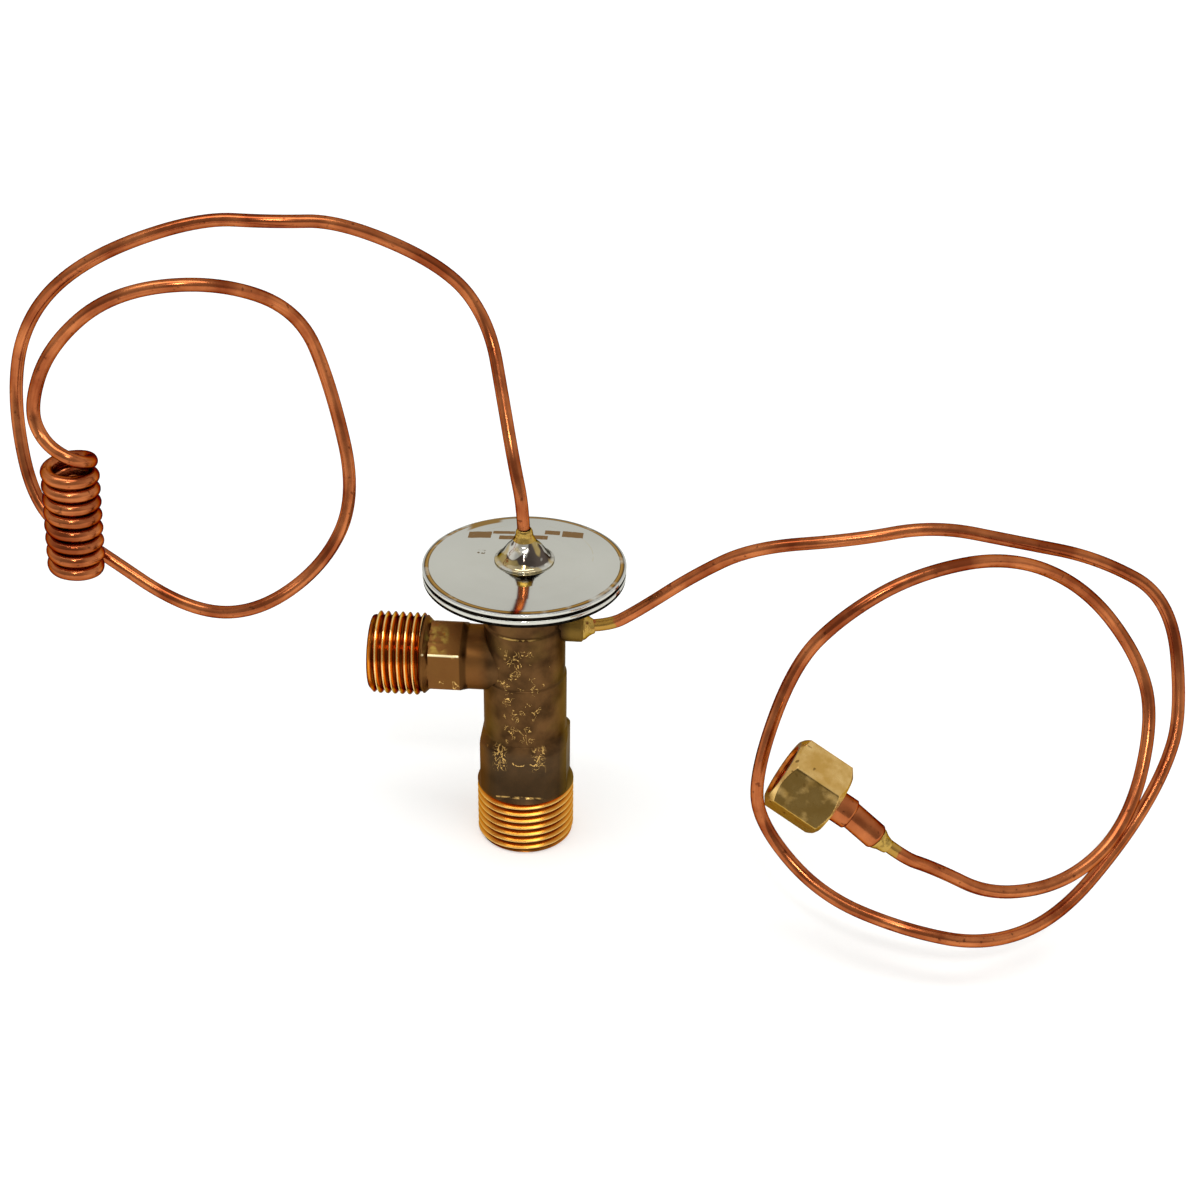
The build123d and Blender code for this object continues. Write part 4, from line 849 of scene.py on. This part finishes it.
def frame_along(start, axis):
    """A frame whose height runs from a start point, in mm, along an axis."""
    along = Vector(axis).normalized()
    side = along.cross(Vector((0, 1, 0))).normalized()
    third = along.cross(side)
    rows = [(a, b, c, d * MM) for a, b, c, d in zip(side, third, along, start)]
    return Matrix(rows + [(0, 0, 0, 1)])


nut_frame = frame_along(NUT_MOUTH, NUT_AXIS)
stub_start = [mouth + share * SLEEVE_END
              for mouth, share in zip(NUT_MOUTH, Vector(NUT_AXIS).normalized())]
stub_frame = frame_along(stub_start, STUB_AXIS)

sleeve_rows = eased([
    (3.05, 5.65), (3.85, 5.65), (3.85, 5.9), (2.8, 6.95), (2.8, 13.95), (2.42, SLEEVE_END),
    (0.3, SLEEVE_END), (0.3, 13.75), (2.0, 13.75), (2.0, 6.95), (3.05, 5.9), (3.05, 5.65)], 0.15)
reduced_rows = eased([
    (0.4, -0.6), (2.4, -0.6), (2.4, STUB_LENGTH - 0.5), (1.9, STUB_LENGTH), (1.25, STUB_LENGTH),
    (1.25, 2.2), (0.4, 2.2), (0.4, -0.6)], 0.3)
flare_stub = solid("flare_stub_tube", [
    skin(sleeve_rows, nut_frame, 0, 120), skin(reduced_rows, stub_frame, 0, 120)], [copper])
stub_braze_rows = eased([
    (1.22, 6.0), (2.1, 6.05), (2.0, 6.45), (1.6, 7.2), (1.4, 8.2), (1.22, 8.6)], 0.4)
stub_braze = solid("stub_braze_fillet", [skin(stub_braze_rows, stub_frame, 0, 96)], [braze])
for piece, node, slot in ((flare_stub, "flare_stub", "copper"),
                          (stub_braze, "stub_braze", "braze")):
    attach(piece, "valve")
    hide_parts(node)

# Machined brass of the nut, bright yellow gold in clouds with a few oil spots, and painted shade
# of mottled olive brown on the flat that faces the front.
nut_brass, tree, shader, place = metal("machined_brass_nut", "#C69A4C", 0.22, "#6A5A38")
film = add(tree, "ShaderNodeTexNoise", links={
    "Vector": place, "Scale": 210.0, "Detail": 5.0, "Roughness": 0.6})
film_share = add(tree, "ShaderNodeMapRange", links={
    "Value": film, "From Min": 0.38, "From Max": 0.66})
nut_gold = add(tree, "ShaderNodeMixRGB", links={
    "Fac": film_share, "Color1": linear("#CDA256"), "Color2": linear("#F0CB86")})
drops = add(tree, "ShaderNodeTexNoise", links={"Vector": place, "Scale": 620.0, "Detail": 1.0})
drop_on = add(tree, "ShaderNodeMapRange", links={
    "Value": drops, "From Min": 0.70, "From Max": 0.74, "To Max": 0.7})
dotted = add(tree, "ShaderNodeMixRGB", links={
    "Fac": drop_on, "Color1": nut_gold, "Color2": linear("#5A3A18")})
# Painted shade: the front flat is painted a mottled dark olive brown.
flat_way = nut_frame.to_3x3() @ Vector((
    math.cos(math.radians(PAINTED_SHADE_FLAT)), math.sin(math.radians(PAINTED_SHADE_FLAT)), 0.0))
from_mouth = add(tree, "ShaderNodeVectorMath", {"operation": "SUBTRACT"}, {
    0: place, 1: [part * MM for part in NUT_MOUTH]})
flat_height = add(tree, "ShaderNodeVectorMath", {"operation": "DOT_PRODUCT"}, {
    0: from_mouth, 1: flat_way}).outputs["Value"]
on_painted_shade_flat = add(tree, "ShaderNodeMath", {"operation": "GREATER_THAN"}, {
    0: flat_height, 1: (NUT_HALF - 0.03) * MM})
nut_colour_and_painted_shade = blend(tree, product(tree, on_painted_shade_flat, noise(tree, place, 300.0, 0.10, 0.46, 0.92)),
               dotted, "#5E4820")
tree.links.new(nut_colour_and_painted_shade.outputs[0], shader.inputs["Base Color"])
nut_dull = add(tree, "ShaderNodeMapRange", links={
    "Value": film, "From Min": 0.3, "From Max": 0.7, "To Min": 0.34, "To Max": 0.22})
tree.links.new(nut_dull.outputs[0], shader.inputs["Roughness"])

nut_limit = flats(NUT_HALF, NUT_R, 6, NUT_TURN + 30.0, NUT_SIDES)
nut_rows = []
for share in np.linspace(0, 1, 12):
    row_r = NUT_FACE_R + (NUT_R - NUT_FACE_R) * share
    nut_rows.append((np.minimum(row_r, nut_limit), NUT_CORNER_CHAMFER * share))
nut_rows += [(nut_limit, z) for z in (3.5, 7.0)]
for share in np.linspace(1, 0, 12):
    row_r = NUT_FACE_R + (NUT_R - NUT_FACE_R) * share
    nut_rows.append((np.minimum(row_r, nut_limit), NUT_LENGTH - NUT_CORNER_CHAMFER * share))
bored_brass, tree, shader, place = metal("tapped_brass_thread", "#C8702C", 0.3, "#8A4A20")
tapped = blend(tree, noise(tree, place, 400.0, 0.4, 0.6), "#A8501E", "#DC8A3C")
tree.links.new(tapped.outputs[0], shader.inputs["Base Color"])
outer_rows = len(nut_rows)
nut_bore = thread_rows(4.25, 0.5, 1.058, 0.5, 5.6, None, NUT_SIDES, inside=True)
nut_rows += eased([(5.4, NUT_LENGTH), (3.1, NUT_LENGTH), (2.875, 10.5), (2.875, 7.0),
                   (4.25, 5.625)], 0.1)
nut_rows += [row for row in reversed(nut_bore)]
nut_rows += eased([(4.3, 0.5), (4.75, 0.0), (5.5, 0.0)], 0.15)
nut_finish = [0] * (outer_rows + 4) + [1] * (len(nut_rows) - outer_rows - 8) + [0] * 4
flare_nut = solid("brass_flare_nut", [skin(nut_rows, nut_frame, nut_finish, NUT_SIDES)],
                  [nut_brass, bored_brass])
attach(flare_nut, "nut")
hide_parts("flare_nut")


# Inner parts, which show only through the ends: ground and pressed steel, turned brass,
# the woven strainer and the rubber ring. They keep their own solids.
ground_steel, tree, shader, place = metal("ground_stainless_steel", "#A8A8A4", 0.22)
grind = add(tree, "ShaderNodeTexNoise", links={"Vector": place, "Scale": 2500.0, "Detail": 2.0})
grind_marks = add(tree, "ShaderNodeBump", links={
    "Height": grind, "Strength": 0.1, "Distance": 0.0001})
tree.links.new(grind_marks.outputs[0], shader.inputs["Normal"])
rubber, tree, shader, place = metal("moulded_black_rubber", "#101010", 0.6)
shader.inputs["Metallic"].default_value = 0.0
bloom_mark = add(tree, "ShaderNodeTexNoise", links={"Vector": place, "Scale": 1500.0})
tree.links.new(add(tree, "ShaderNodeBump", links={
    "Height": bloom_mark, "Strength": 0.15, "Distance": 0.0001}).outputs[0],
    shader.inputs["Normal"])
inner_finish = {
    "diaphragm": dark_finish_and_painted_shade, "thrust_pad": ground_steel, "push_rod": ground_steel,
    "valve_seat": ground_steel, "valve_ball": ground_steel, "superheat_spring": ground_steel,
    "inlet_strainer": ground_steel, "rod_seal": rubber, "seal_retainer": nut_brass,
    "ball_carrier": nut_brass, "spring_seat": nut_brass, "adjusting_nut": nut_brass,
    "strainer_ring": nut_brass, "power_head_gasket": copper,
}
for node, finish in inner_finish.items():
    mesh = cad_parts[node].data
    mesh.materials.clear()
    mesh.materials.append(finish)
